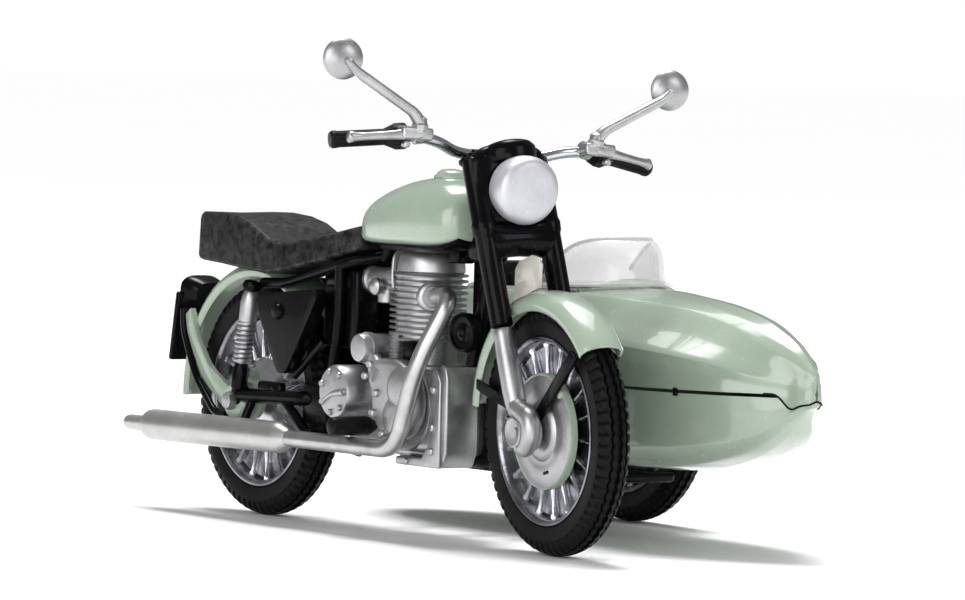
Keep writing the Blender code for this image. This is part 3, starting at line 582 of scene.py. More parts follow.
def fork():
    tilt = Matrix.Translation(PIVOT) @ Matrix.Rotation(-RAKE, 4, "X") @ Matrix.Translation(-PIVOT)
    y0 = PIVOT.y
    web = skin("web", [[(x, y0 - 2.4 - d * cos(a), 44.2 + h * sin(a) + 0.5 * (abs(x) / 6.6) ** 2)
                        for a in (2 * pi * i / 20 for i in range(20))]
                       for x, d, h in ((-6.6, 0.5, 0.8), (-6.2, 1.6, 2.4), (-4.4, 2.2, 3.0), (-2.2, 2.5, 2.5),
                                       (0, 2.6, 2.3), (2.2, 2.5, 2.5), (4.4, 2.2, 3.0), (6.2, 1.6, 2.4),
                                       (6.6, 0.5, 0.8))])
    web.data.transform(tilt)
    stem = turned("stem", [(0.9, -7), (0.9, 6.4), (1.9, 6.6), (1.9, 7.2), (1.5, 7.4), (1.0, 7.9)], steered(0, 0, 0),
                  steered(0, 0, 1), 24)
    nuts = [turned("nut", [(1.5, 6.2), (1.75, 6.5), (1.75, 6.9), (1.2, 7.2), (1.2, 7.6), (0.8, 7.8)],
                   steered(x, 2.0, 0), steered(x, 2.0, 1), 24) for x in (-5.4, 5.4)]
    settle(merged("fork_yokes", web, stem, casing(), *nuts), BLACK, "steering", ("fork_crown", "headlamp_shell"))
    for side, sign in SIDES:
        x = sign * FORK_X
        leg = [(1.35, 0), (1.66, 0.2), (1.68, 13.8), (1.9, 14.4), (1.95, 15.6), (1.75, 16.2), (1.7, 25.4),
               (1.2, 26.0), (0.6, 26.2)]
        settle(turned(side + "_fork_leg", leg, steered(x, FORK_AHEAD, -18.9), steered(x, FORK_AHEAD, -17.9)),
               BLACK, "steering")
        slider(side, sign)
    pin = turned("axle_pin", [(0.75, -7.2), (0.75, 7.0), (0.6, 7.2)], FRONT_AXLE, FRONT_AXLE + Vector((1, 0, 0)), 20)
    settle(pin, SILVER, "steering", "front_axle")


def casing():
    """Black cover that joins the tops of the fork legs behind the lamp."""
    rows = []
    for up, wide, ahead, deep in ((-3.6, 6.5, 2.4, 1.2), (-3.1, 7.1, 2.4, 1.9), (0.0, 7.0, 2.5, 2.2),
                                  (4.0, 6.9, 2.7, 2.5), (6.4, 6.6, 2.8, 2.7), (7.4, 5.8, 3.0, 2.6),
                                  (8.2, 4.4, 3.2, 2.2), (8.6, 2.6, 3.3, 1.4)):
        rows.append([steered(wide * abs(cos(a)) ** 0.7 * (1 if cos(a) > 0 else -1),
                             ahead + deep * abs(sin(a)) ** 0.8 * (1 if sin(a) > 0 else -1), up)
                     for a in (2 * pi * i / 36 for i in range(36))])
    made = skin("casing", rows)
    return modify(made, "SUBSURF", levels=1, render_levels=1)


def slider(side, sign):
    """Silver lower leg whose end curls forward round the axle."""
    x = sign * FORK_X
    shape = [(0.9, 2.2), (1.3, 2.6), (1.55, 4.0), (1.66, 6.5), (1.62, 11.5), (1.46, 14.2), (1.52, 14.9),
             (1.35, 15.3)]
    low_end = steered(x, FORK_AHEAD, -34.6)
    leg = turned(side + "_leg", shape, low_end, low_end + STEER_AXIS)
    axle = Vector((x, FRONT_AXLE.y, WHEEL_R))
    route = [low_end + STEER_AXIS * 6.0, low_end + STEER_AXIS * 3.6, axle + Vector((sign * 0.3, -2.2, 2.1)),
             axle + Vector((sign * 0.5, -2.6, -0.4)), axle + Vector((sign * 0.4, -1.0, -2.4)),
             axle + Vector((sign * 0.2, 0.6, -2.2))]
    curl = tube("curl", route, 1.3, 2.0, 6, (1.55, 1.25), 8)
    start, end = across(FRONT_AXLE.y, WHEEL_R, sign * 3.7, sign * 4.7)
    boss = turned("boss", [(2.3, 0), (2.75, 0.3), (2.8, 2.0), (2.5, 2.6), (2.1, 2.75)], start, end)
    start, end = across(FRONT_AXLE.y + 1.1, WHEEL_R, sign * 4.4, sign * 5.4)
    disc = turned("disc", [(2.3, 0), (2.35, 1.9), (2.25, 2.35), (2.0, 2.45), (1.9, 2.4), (0.3, 2.4)], start, end, 32)
    settle(merged(side + "_fork_slider_look", leg, curl, boss, disc), SILVER, "steering", side + "_fork_slider")


def headlamp():
    """Silver-painted drum with a soft-edged face, and the dial above it."""
    nose, tail = Vector((0, -70.9, 52.55)), Vector((0, -67.5, 52.95))
    drum = [(3.8, -1.6), (4.75, -1.2), (4.95, -0.2), (5.05, 0.6), (5.06, 1.5), (4.96, 2.1), (4.7, 2.62),
            (4.3, 2.95), (3.7, 3.14), (2.4, 3.26), (1.0, 3.32), (0.2, 3.33)]
    settle(turned("headlamp_drum", drum, tail, nose, 64), LAMP, "steering", "headlamp", 50)
    dish = turned("dish", [(2.6, -0.6), (3.4, -0.1), (4.3, 0.9), (4.75, 2.0), (4.8, 2.9), (4.4, 3.0)],
                  (0, -64.5, 53.3), (0, -65.5, 53.2), 40)
    hood = turned("hood", [(3.9, -2.6), (4.2, -1.4), (4.1, -0.4), (3.6, 0.2), (3.0, 0.45), (2.8, 0.4), (2.75, 0.2),
                           (0.4, 0.15)], steered(0, 3.9, 8.0), steered(0, 3.9, 9.0), 44)
    settle(merged("lamp_shell", dish, hood), BLACK, "steering")
    dial = turned("dial_rim", [(2.7, 0.1), (2.7, 0.4), (2.5, 0.5), (2.3, 0.42), (2.25, 0.24), (0.4, 0.22)],
                  steered(0, 3.9, 8.0), steered(0, 3.9, 9.0), 40)
    settle(dial, BLACK, "steering")


def named_piece(made, name):
    made.name = made.data.name = name
    return made


def bar_line(x):
    """Middle of the bar's outer part at the distance x from the middle."""
    t = (abs(x) - 16.0) / 11.0
    return Vector((x, -61.0 + 2.5 * t, 59.3 - 1.5 * t))


def rolled(made):
    made.data.transform(ROLLED)
    return made


def handlebar():
    half = [bar_line(26.0), bar_line(15.0), Vector((10.5, -60.8, 59.0)), Vector((6.5, -59.5, 57.5)),
            Vector((2.5, -59.3, 57.4))]
    route = [Vector((-p.x, p.y, p.z)) for p in half] + list(reversed(half))
    settle(rolled(tube("bar", route, 0.85, 3.5, 5, None, 8)), BRIGHT, "steering", "handlebar")
    clamps = [block("clamp", (-1.0, -1.3, -1.2), (1.0, 1.3, 1.0), 0.4, 3, Matrix.Translation((s * 3.2, -59.4, 57.3)))
              for s in (-1, 1)]
    settle(rolled(merged("bar_clamps", *clamps)), BLACK, "steering")
    for side, sign in SIDES:
        grip_and_lever(side, sign)
        mirror(side, sign)


def grip_and_lever(side, sign):
    start, end = bar_line(sign * 15.6), bar_line(sign * 27.1)
    length = (end - start).length
    way = (end - start).normalized()
    hold = [(0.95, 1.4), (1.2, 1.6), (1.22, length - 1.2), (1.3, length - 1.0), (1.3, length - 0.4),
            (1.05, length - 0.05), (0.3, length)]
    grip = turned("grip", hold, start, start + way, 28)
    housing = turned("housing", [(1.2, 0), (1.85, 0.35), (1.95, 0.7), (1.95, 2.0), (1.7, 2.5), (1.25, 3.6)], start,
                     start + way, 8)
    settle(rolled(merged(side + "_grip_look", grip, housing)), GRIPPY, "steering", side + "_grip", 30)
    reach = Vector((0, -2.6, 0.35))
    root, tip = bar_line(sign * 14.4) + reach, bar_line(sign * 25.8) + reach
    blade = skin(side + "_blade", [[root.lerp(tip, t) + Vector((0, w * cos(a), h * sin(a)))
                                    for a in (2 * pi * i / 14 for i in range(14))]
                                   for t, w, h in ((0, 0.5, 0.9), (0.12, 0.6, 1.0), (0.3, 0.55, 0.78),
                                                   (0.5, 0.5, 0.62), (0.86, 0.48, 0.58), (0.91, 0.62, 0.8),
                                                   (0.96, 0.72, 0.95), (0.99, 0.55, 0.7), (1.0, 0.2, 0.25))])
    modify(blade, "SUBSURF", levels=1, render_levels=1)
    perch = block("perch", (-3.2, -0.8, -0.95), (1.9, 2.0, 0.95), 0.45, 3)
    if sign > 0:
        perch.data.transform(Matrix.Rotation(pi, 4, "Z") @ Matrix.Translation((0, -1.2, 0)))
    perch.data.transform(Matrix.Translation(bar_line(sign * 14.8) + reach * 0.8))
    clamp = turned("bar_clamp", [(1.0, 0), (1.3, 0.2), (1.35, 1.4), (1.05, 1.7)], bar_line(sign * 13.4),
                   bar_line(sign * 14.4), 24)
    screw = turned("screw", [(0.5, 0), (0.5, 1.0), (0.3, 1.2)], bar_line(sign * 17.0) + Vector((0, -1.9, -1.1)),
                   bar_line(sign * 17.0) + Vector((0, -2.9, -1.1)), 12)
    settle(rolled(merged(side + "_lever_look", blade, perch, clamp, screw)), SILVER, "steering", side + "_lever")


def mirror(side, sign):
    """Shallow dish on a flattened stem that rises from a stepped foot."""
    foot = Vector((sign * 14.9, -63.2, 61.2))
    head = Vector((sign * 27.7, -61.9, 69.6))
    face = Vector((-0.17, -0.985, 0.0))
    bowl = [(0.3, 1.12), (1.1, 1.06), (1.9, 0.84), (2.6, 0.42), (2.98, 0.06), (3.06, -0.12), (2.95, -0.26),
            (2.7, -0.22), (0.3, -0.2)]
    dish = turned("dish", bowl, head, head + face, 44)
    end = head + face * 1.35 - Vector((sign * 0.5, 0, 0.4))
    route = [foot, foot + Vector((sign * 1.2, -0.2, 1.5)), end - Vector((sign * 1.4, 0, 1.3)), end]
    stem = tube("stem", route, 0.62, 1.2, 5, (0.95, 0.6), 8)
    knob = turned("knob", [(0.3, -0.6), (0.6, -0.4), (0.66, 0), (0.5, 0.4), (0.2, 0.5)], end, end + face, 16)
    base = turned("foot", [(1.0, -1.2), (1.25, -1.0), (1.3, -0.2), (1.05, 0.1), (1.0, 0.8), (0.4, 1.2)], foot,
                  foot + Vector((0, 0, 1)), 8)
    settle(rolled(merged(side + "_mirror_look", dish, stem, knob, base)), SILVER, "steering", side + "_mirror")
    glass = turned(side + "_mirror_glass", [(2.6, -0.22), (2.55, -0.33), (0.4, -0.34)], head, head + face, 36)
    settle(rolled(glass), BRIGHT, "steering")


def guard_shape(name, centre, half, radius, drop, start, end, steps):
    """Mudguard sheet with a rounded crown, turned-in sides and a beaded rim."""
    crown = [(half, radius - drop), (half * 1.03, radius - drop * 0.72), (half * 0.93, radius - drop * 0.4),
             (half * 0.7, radius - drop * 0.16), (half * 0.36, radius - drop * 0.03), (0, radius)]
    outer = crown + [(-x, r) for x, r in reversed(crown[:-1])]
    inner = [(x * 0.9, r - 0.42) for x, r in reversed(outer)]
    made = swung(name, outer + inner, centre, start, end, steps)
    take(made)
    bpy.ops.object.mode_set(mode="EDIT")
    bpy.ops.mesh.select_all(action="SELECT")
    bpy.ops.mesh.fill_holes(sides=0)
    bpy.ops.object.mode_set(mode="OBJECT")
    tidy_mesh(made)
    return modify(made, "BEVEL", width=0.12, segments=2, limit_method="ANGLE", angle_limit=radians(45))


def front_guard():
    centre = Vector((0, -76.9, 18.95))
    made = guard_shape("front_mudguard_look", centre, 3.45, 19.65, 2.6, radians(-51), radians(84), 56)
    settle(made, GREEN, "steering", "front_mudguard")
    flat_bars = (soft_line([(-87.9, 30.6), (-89.9, 29.6), (-79.2, 20.0), (-77.9, 19.6), (-77.9, 21.2),
                            (-87.9, 30.6)], (0.1,))[:-1],
                 soft_line([(-60.6, 24.9), (-60.6, 23.2), (-77.0, 19.2), (-77.6, 20.8), (-60.6, 24.9)], (0.1,))[:-1])
    for side, sign in SIDES:
        near, far = sorted((sign * 3.15, sign * 3.75))
        bars = [prism("bar", [(p.x, p.y) for p in bar], near, far, 0.15, 2) for bar in flat_bars]
        settle(merged(side + "_guard_stays", *bars), BLACK, "steering", side + "_front_stay")
    outline = arc((-77.8, 18.25), 21.0, 55, 77, 8) + [(-73.4, 42.2), (-72.6, 43.2), (-71.0, 43.5), (-67.2, 42.4),
                                                     (-66.0, 41.2)]
    settle(prism("front_plate", outline, -0.28, 0.28, 0.12, 2), IVORY, "steering", "front_number_plate")


brake_plate()
fork()
headlamp()
handlebar()
front_guard()


# Bike -------------------------------------------------------------------------

def tank():
    rows = between([(-30.2, 1.6, 44.9, 46.4), (-31.0, 4.0, 43.9, 48.6), (-33.8, 5.9, 43.4, 50.6),
                    (-39.5, 7.2, 43.2, 52.6), (-46.0, 7.8, 43.2, 53.9), (-52.0, 7.7, 43.3, 53.9),
                    (-55.6, 6.9, 43.8, 53.0), (-57.6, 5.2, 44.8, 51.6), (-58.3, 2.6, 46.2, 50.2)], 6)
    sections = []
    for y, half, low, high in rows:
        belt = low + (high - low) * 0.36
        line = []
        for i in range(36):
            a = 2 * pi * i / 36
            wide, tall = abs(cos(a)) ** 0.78, abs(sin(a)) ** (0.84 if sin(a) > 0 else 0.45)
            reach = (high - belt) if sin(a) > 0 else (belt - low)
            x = half * wide * (1 if cos(a) > 0 else -1)
            z = belt + reach * tall * (1 if sin(a) > 0 else -1)
            line.append((x, y, z))
        sections.append(line)
    made = skin("tank_shell", sections)
    tunnel = block("tunnel", (-1.9, -62, 38), (1.9, -26, 46.6), 0.5, 2)
    settle(cut_out(made, tunnel), GREEN, "bike", "fuel_tank", 50)
    lip = ((-1, 0.5), (-0.85, -0.25), (0.85, -0.25), (1, 0.5), (0.8, 0.4), (-0.8, 0.4))
    tray = skin("tank_tray", [[(half * 0.9 * x, y, low + z) for x, z in lip] for y, half, low, high in rows[6:-6]])
    settle(tray, BLACK)
    at, up = Vector((0, -48.6, 53.8)), Vector((0, -48.66, 54.8))
    cap = turned("filler_cap", [(2.4, -0.3), (2.75, 0.0), (2.7, 0.4), (2.3, 0.75), (2.2, 1.0), (1.6, 1.35),
                                (0.8, 1.5), (0.2, 1.52)], at, up, 36)
    settle(cap, GREEN, "bike", "fuel_cap")
    neck = tube("steering_neck", [(0, -57.2, 48.6), (0, -60.2, 48.8)], 2.3, 1.0, 6)
    gusset = prism("gusset", [(-61.0, 53.6), (-57.6, 51.4), (-55.6, 46.0), (-56.6, 42.0), (-60.4, 41.6),
                              (-62.6, 47.0)], -2.4, 2.4, 0.8, 4)
    settle(merged("neck_cover", neck, gusset), BLACK)


def seat():
    """Moulded dual seat: a low, narrow nose that steps up to a broad square pillion."""
    rows = [(-30.2, 3.5, 43.1, 45.9), (-29.8, 3.9, 42.6, 46.2), (-21.5, 5.5, 40.4, 44.4), (-13.4, 7.2, 38.5, 43.0),
            (-9.6, 7.8, 38.0, 43.3), (-8.6, 7.85, 38.0, 43.8), (-4.0, 7.8, 38.3, 45.7), (0.0, 7.6, 38.6, 46.6),
            (5.0, 7.4, 39.0, 47.0), (10.6, 7.2, 39.3, 46.9), (11.3, 6.9, 39.8, 46.3)]
    sections = []
    for y, half, low, high in rows:
        corners = [(-half * 0.9, low), (-half, low + 0.4), (-half * 0.965, high - 0.5), (-half * 0.89, high),
                   (0, high - 0.15), (half * 0.89, high), (half * 0.965, high - 0.5), (half, low + 0.4),
                   (half * 0.9, low)]
        sections.append([(x, y, z) for x, z in corners])
    made = skin("seat_moulding", sections)
    hollow = turned("hollow", [(21.95, -5.2), (21.95, 5.2)], REAR_AXLE, REAR_AXLE + Vector((1, 0, 0)), 96)
    cut_out(made, hollow)
    modify(made, "BEVEL", width=0.55, segments=4, limit_method="ANGLE", angle_limit=radians(14))
    mark_rubbed(made)
    settle(made, SEATING, "bike", "seat", 60)


def mark_rubbed(made):
    """Stores how sharply the surface turns at each corner, for wear along the edges."""
    turning = [0.0] * len(made.data.vertices)
    facing = {}
    for face in made.data.polygons:
        for corner in face.vertices:
            facing.setdefault(corner, []).append(face.normal.copy())
    for corner, normals in facing.items():
        turning[corner] = min(1.0, max(a.angle(b, 0) for a in normals for b in normals) / radians(30))
    rub = made.data.attributes.new("rub", "FLOAT", "POINT")
    rub.data.foreach_set("value", turning)


def rear_guard():
    made = guard_shape("rear_mudguard_look", REAR_AXLE, 3.75, 21.35, 2.2, radians(-40), radians(92), 60)
    parts = [made]
    for side, sign in SIDES:
        strap = soft_line([(17.0, 31.4), (19.3, 29.8), (17.3, 26.2), (12.8, 20.4), (5.4, 15.7), (2.0, 15.6),
                           (2.2, 19.4), (4.6, 19.4), (11.4, 22.6), (15.4, 27.6), (17.0, 31.4)], (0.12, 0.25))[:-1]
        near, far = sorted((sign * 3.6, sign * 4.6))
        parts.append(prism(side + "_strap", [(p.x, p.y) for p in strap], near, far, 0.3, 3))
        start, end = across(0.4, WHEEL_R - 0.5, sign * 3.9, sign * 4.9)
        parts.append(turned("eye", [(2.5, 0), (2.9, 0.3), (2.95, 2.4), (2.6, 2.8), (0.4, 2.85)], start, end, 36))
    settle(merged("rear_mudguard_look", *parts), GREEN, "bike", "rear_mudguard")
    for side, sign in SIDES:
        rod = [Vector((sign * 4.5, 19.0, 31.2)), Vector((sign * 4.7, 18.6, 28.0)), Vector((sign * 4.9, 14.4, 20.8)),
               Vector((sign * 5.6, 7.2, 15.4)), Vector((sign * 6.0, 3.2, 15.6))]
        settle(tube(side + "_guard_rod", rod, 0.6, 2.0, 4), BLACK)
    panel_and_lamp()


def panel_and_lamp():
    tilt = Matrix.Translation((0, 21.9, 29.6)) @ Matrix.Rotation(radians(10), 4, "X")
    back = block("panel", (-4.4, -0.2, -6.8), (4.4, 0.75, 4.2), 0.35, 3, tilt)
    hood = skin("hood", [[(x, y, z) for x, z in soft_line([(-w, 3.4), (-w, 6.0 - d), (-w * 0.6, 7.0 - d),
                                                          (w * 0.6, 7.0 - d), (w, 6.0 - d), (w, 3.4)], (0.2, 0.25))]
                         for y, w, d in ((-2.4, 2.4, 0.8), (-1.0, 3.4, 0.3), (0.7, 3.6, 0.2))])
    hood.data.transform(tilt)
    settle(merged("number_panel", back, hood), BLACK, "bike", "number_plate_panel", 45)
    plate = block("number_face", (-3.6, 0.72, -6.0), (3.6, 0.86, 1.4), 0.06, 1, tilt)
    settle(plate, IVORY)
    lamp = [(1.5, -0.2), (1.5, 0.5), (1.3, 1.3), (0.9, 1.75), (0.3, 1.9)]
    settle(turned("tail_lens", lamp, (0, 22.6, 34.2), (0, 23.6, 34.03), 32), RED, "bike", "tail_lamp")
    collar = turned("tail_collar", [(1.75, -0.5), (1.8, 0.1), (1.6, 0.3), (0.4, 0.32)], (0, 22.6, 34.2),
                    (0, 23.6, 34.03), 32)
    settle(collar, SILVER)


def frame_tubes():
    head = turned("head", [(1.7, -3.5), (2.1, -3.3), (2.1, -2.5), (1.95, -2.3), (1.95, 4.2), (2.1, 4.4), (2.1, 5.1),
                           (1.7, 5.2)], steered(0, 0, 0), steered(0, 0, 1), 32)
    parts = [head, tube("spine", [(0, -61.8, 47.4), (0, -58.4, 44.9), (0, -34.2, 44.9), (0, -31.3, 41.2)], 1.1, 2.0),
             tube("down", [(0, -61.4, 48.0), (0, -55.9, 29.0), (0, -55.2, 26.6)], 1.05)]
    for _, sign in SIDES:
        x = sign * 4.9
        rail = [(0, -31.4, 41.7), (x, -28.4, 40.5), (x, -11.5, 36.6), (x, -5.0, 36.4)]
        parts.append(tube("rail", rail, 0.85, 2.5))
        parts.append(tube("post", [(x, -26.4, 39.9), (x, -26.4, 30), (x, -23.4, 17.6)], 0.85, 3.0))
        parts.append(tube("brace", [(x * 1.14, -15.4, 22.6), (x * 1.2, -24.0, 28.4)], 0.6, 1.0))
        parts.append(tube("lower", [(x, -23.4, 18.0), (x, -26.6, 12.9), (x, -33.0, 12.2)], 0.8, 2.0))
        parts.append(block("gusset", (min(x, x * 1.2), -24.8, 15.6), (max(x, x * 1.2), -18.2, 21.4), 0.3, 2))
    start, end = across(-23.6, 18.4, -5.6, -4.6)
    parts.append(turned("cross", [(1.0, 0), (1.25, 0.2), (1.25, 11.0), (1.0, 11.2)], start, end, 24))
    settle(merged("frame_casting", *parts), BLACK, "bike", "main_frame")


def swinging_arm():
    points = [(-6.2, -1.2, 18.8), (-6.0, -19.8, 19.4), (6.0, -19.8, 19.4), (6.2, -1.2, 18.8)]
    arms = [tube("arm", points, 1.15, 2.0)]
    for _, sign in SIDES:
        start, end = across(-0.6, WHEEL_R + 0.6, sign * 5.2, sign * 6.2)
        arms.append(turned("lug", [(1.5, 0), (1.8, 0.2), (1.85, 1.3), (1.5, 1.6), (0.9, 1.65)], start, end, 30))
        arms.append(tube("stay", [(sign * 6.0, -10.6, 20.6), (sign * 6.2, -20.2, 14.2)], 0.75, 1.0))
        near, far = sorted((sign * 5.0, sign * 6.6))
        arms.append(block("pad", (near, -12.6, 18.4), (far, -6.0, 21.4), 0.7, 3))
    settle(merged("swinging_arm_look", *arms), BLACK, "bike", "swinging_arm")
    pin = turned("rear_pin", [(0.9, -8.0), (1.3, -7.9), (1.45, -7.3), (1.45, -6.7), (0.76, -6.6), (0.76, 6.6),
                              (1.45, 6.7), (1.45, 7.3), (1.3, 7.9), (0.9, 8.0)], REAR_AXLE + Vector((0, 0.6, -0.4)),
                 REAR_AXLE + Vector((1, 0.6, -0.4)), 8)
    settle(pin, SILVER, "bike", "rear_axle")
    hub = [(2.9, -1.4), (3.3, -1.7), (3.4, -2.4), (3.1, -2.9), (1.2, -3.0)]
    settle(turned("hub_cover", hub, REAR_AXLE + Vector((-1.2, 0, 0)), REAR_AXLE + Vector((-0.2, 0, 0)), 40), GREEN,
           "bike", "rear_hub_cover")


def shocks():
    for side, sign in SIDES:
        x = sign * 6.5
        low_end, top_end = Vector((x, -1.0, 20.7)), Vector((x, -3.9, 35.6))
        up = (top_end - low_end).normalized()
        body = turned("body", [(0.9, 3.2), (1.05, 3.5), (1.05, 9.6), (1.35, 9.9), (1.42, 12.8), (1.25, 13.8),
                               (0.9, 14.8), (0.3, 15.2)], low_end, low_end + up, 30)
        out = up.orthogonal().normalized()
        beside = up.cross(out)
        turns = 9
        path = [low_end + up * (3.4 + 6.6 * i / (turns * 12)) + out * 1.2 * cos(2 * pi * i / 12)
                + beside * 1.2 * sin(2 * pi * i / 12) for i in range(turns * 12 + 1)]
        coil = tube("coil", path, 0.33, 0.2, 2, None, 1)
        settle(merged(side + "_shock_look", body, coil), SILVER, "bike", side + "_shock")
        boot = turned(side + "_shock_foot", [(0.7, -1.2), (1.25, -0.8), (1.3, 2.2), (1.05, 2.8), (0.85, 3.4)],
                      low_end, low_end + up, 24)
        settle(boot, BLACK)
        cap = turned(side + "_shock_cap", [(0.6, 0), (1.4, 0.3), (1.5, 1.0), (1.2, 1.6), (0.4, 1.8)],
                     top_end - up * 0.6, top_end + up * 0.4, 24)
        settle(cap, BLACK)


def boxes():
    outline = soft_line([(-7.0, 33.4), (-8.2, 34.8), (-23.2, 36.3), (-24.6, 35.2), (-16.0, 23.0), (-13.6, 23.0),
                         (-7.0, 33.4)], (0.1, 0.25))[:-1]
    for side, sign in SIDES:
        near, far = sorted((sign * 5.6, sign * 7.8))
        box = prism("box", [(p.x, p.y) for p in outline], near, far, 0.7, 4)
        start, end = across(-13.6, 32.4, sign * 7.5, sign * 8.5)
        knob = turned("knob", [(1.3, 0), (1.3, 0.5), (1.0, 0.9), (0.3, 1.0)], start, end, 20)
        settle(merged(side + "_toolbox_look", box, knob), BLACK, "bike", side + "_toolbox")
    parts = [block("case", (-4.0, -29.6, 27.4), (4.0, -20.4, 39.4), 0.6, 3),
             block("lid", (-4.3, -28.0, 36.6), (4.3, -21.6, 38.4), 0.3, 2),
             block("rib", (-4.25, -25.6, 28.4), (4.25, -24.6, 36.0), 0.2, 2),
             # The inner panel is a black sheet of painted shade. It fills the gap where the parts behind lie in
             # shadow.
             block("shade_fill_panel", (3.0, -35.0, 23.4), (3.6, -12.0, 41.4), 0.2, 1)]
    settle(merged("air_box_look", *parts), BLACK, "bike", "air_box")


tank()
seat()
rear_guard()
frame_tubes()
swinging_arm()
shocks()
boxes()


# Engine -----------------------------------------------------------------------

CYLINDER_AXIS = (0, -43.2, 0), (0, -43.2, 1)


def finned(name, fins, pitch, wide, core, start_z):
    """Close stack of thin rounded fins on a core, upwards from start_z."""
    profile = [(core, start_z)]
    for i in range(fins):
        z = start_z + 0.1 + i * pitch
        profile += [(core, z), (wide - 0.14, z + 0.05), (wide, z + pitch * 0.26), (wide - 0.14, z + pitch * 0.48),
                    (core, z + pitch * 0.54)]
    profile.append((core, start_z + 0.2 + fins * pitch))
    return turned(name, profile, *CYLINDER_AXIS, 48)


def barrel_and_head():
    barrel = finned("barrel", 8, 0.86, 5.85, 4.9, 29.4)
    base = turned("base", [(5.2, 24.6), (5.4, 24.9), (5.4, 25.8), (4.5, 26.1), (4.4, 29.8)],
                  *CYLINDER_AXIS)
    beads = [(r, 25.2 + 0.5 * i + d) for i in range(11) for r, d in ((0.95, 0.0), (1.3, 0.22))]
    tunnel = turned("tunnel", [(1.1, 24.4), (1.4, 24.6)] + beads + [(1.0, 30.8)], (-5.0, -42.6, 0),
                    (-5.0, -42.6, 1), 24)
    settle(merged("cylinder_barrel_look", barrel, base, tunnel), SILVER, "bike", "cylinder_barrel", 30)
    # Black block of painted shade in a recess at the front of the barrel's base.
    recess = block("barrel_recess_shade", (-5.3, -47.2, 26.4), (-3.6, -44.4, 29.6), 0.3, 2)
    settle(recess, BLACK)
    head = finned("head", 4, 0.86, 6.0, 5.0, 36.4)
    dome = turned("dome", [(5.5, 39.6), (5.75, 39.9), (5.7, 40.9), (5.45, 42.0), (4.9, 42.9), (4.0, 43.4),
                           (0.5, 43.5)], *CYLINDER_AXIS, 48)
    for corner in dome.data.vertices:
        corner.co.x *= 0.92
    groove = block("groove", (-7.0, -43.3, 38.2), (-4.1, -42.6, 45.0), 0.2, 2,
                   Matrix.Translation((0, -43.2, 0)) @ Matrix.Rotation(radians(-10), 4, "Z")
                   @ Matrix.Translation((0, 43.2, 0)))
    cut_out(dome, groove)
    pipe = tube("oil_pipe", [(-4.7, -41.9, 43.0), (-5.6, -42.0, 42.0), (-6.1, -42.4, 39.0), (-5.9, -42.5, 37.4)],
                0.26, 0.8, 4)
    union = turned("union", [(0.6, 0), (0.65, 0.8), (0.45, 0.9)], (-4.8, -41.6, 43.0), (-4.8, -41.6, 44.0), 6)
    settle(merged("cylinder_head_look", head, dome, pipe, union), SILVER, "bike", "cylinder_head", 30)
    start = Vector((-3.6, -49.6, 36.3))
    port = turned("exhaust_port", [(1.9, -2.4), (2.2, -2.0), (2.25, -0.3), (2.05, 0.1), (1.6, 0.3), (1.5, 0.0),
                                   (0.4, 0)], start, start + Vector((-0.42, -0.9, 0.05)), 32)
    settle(port, SILVER)
    stay = block("head_steady", (-1.6, -53.0, 41.4), (1.6, -49.8, 43.8), 0.4, 3)
    settle(stay, BLACK)


def carburettor():
    body = turned("body", [(1.7, -0.8), (1.8, 0), (1.8, 6.6), (2.1, 6.8), (2.1, 7.6), (1.7, 7.9)],
                  (-1.0, -37.0, 38.4), (-1.0, -36.0, 38.35), 28)
    bowl = turned("bowl", [(1.0, -2.6), (1.5, -2.4), (1.5, 0), (1.0, 0.4)], (-1.0, -33.6, 37.2),
                  (-1.0, -33.6, 38.2), 24)
    knob = turned("knob", [(0.9, 0), (1.3, 0.3), (1.3, 1.0), (0.8, 1.5), (0.2, 1.6)], (-3.0, -34.4, 37.2),
                  (-4.0, -34.4, 37.2), 20)
    arm = tube("arm", [(-1.5, -34.4, 37.2), (-3.2, -34.4, 37.2)], 0.6)
    settle(merged("carburettor_look", body, bowl, knob, arm), SILVER, "bike", "carburettor")


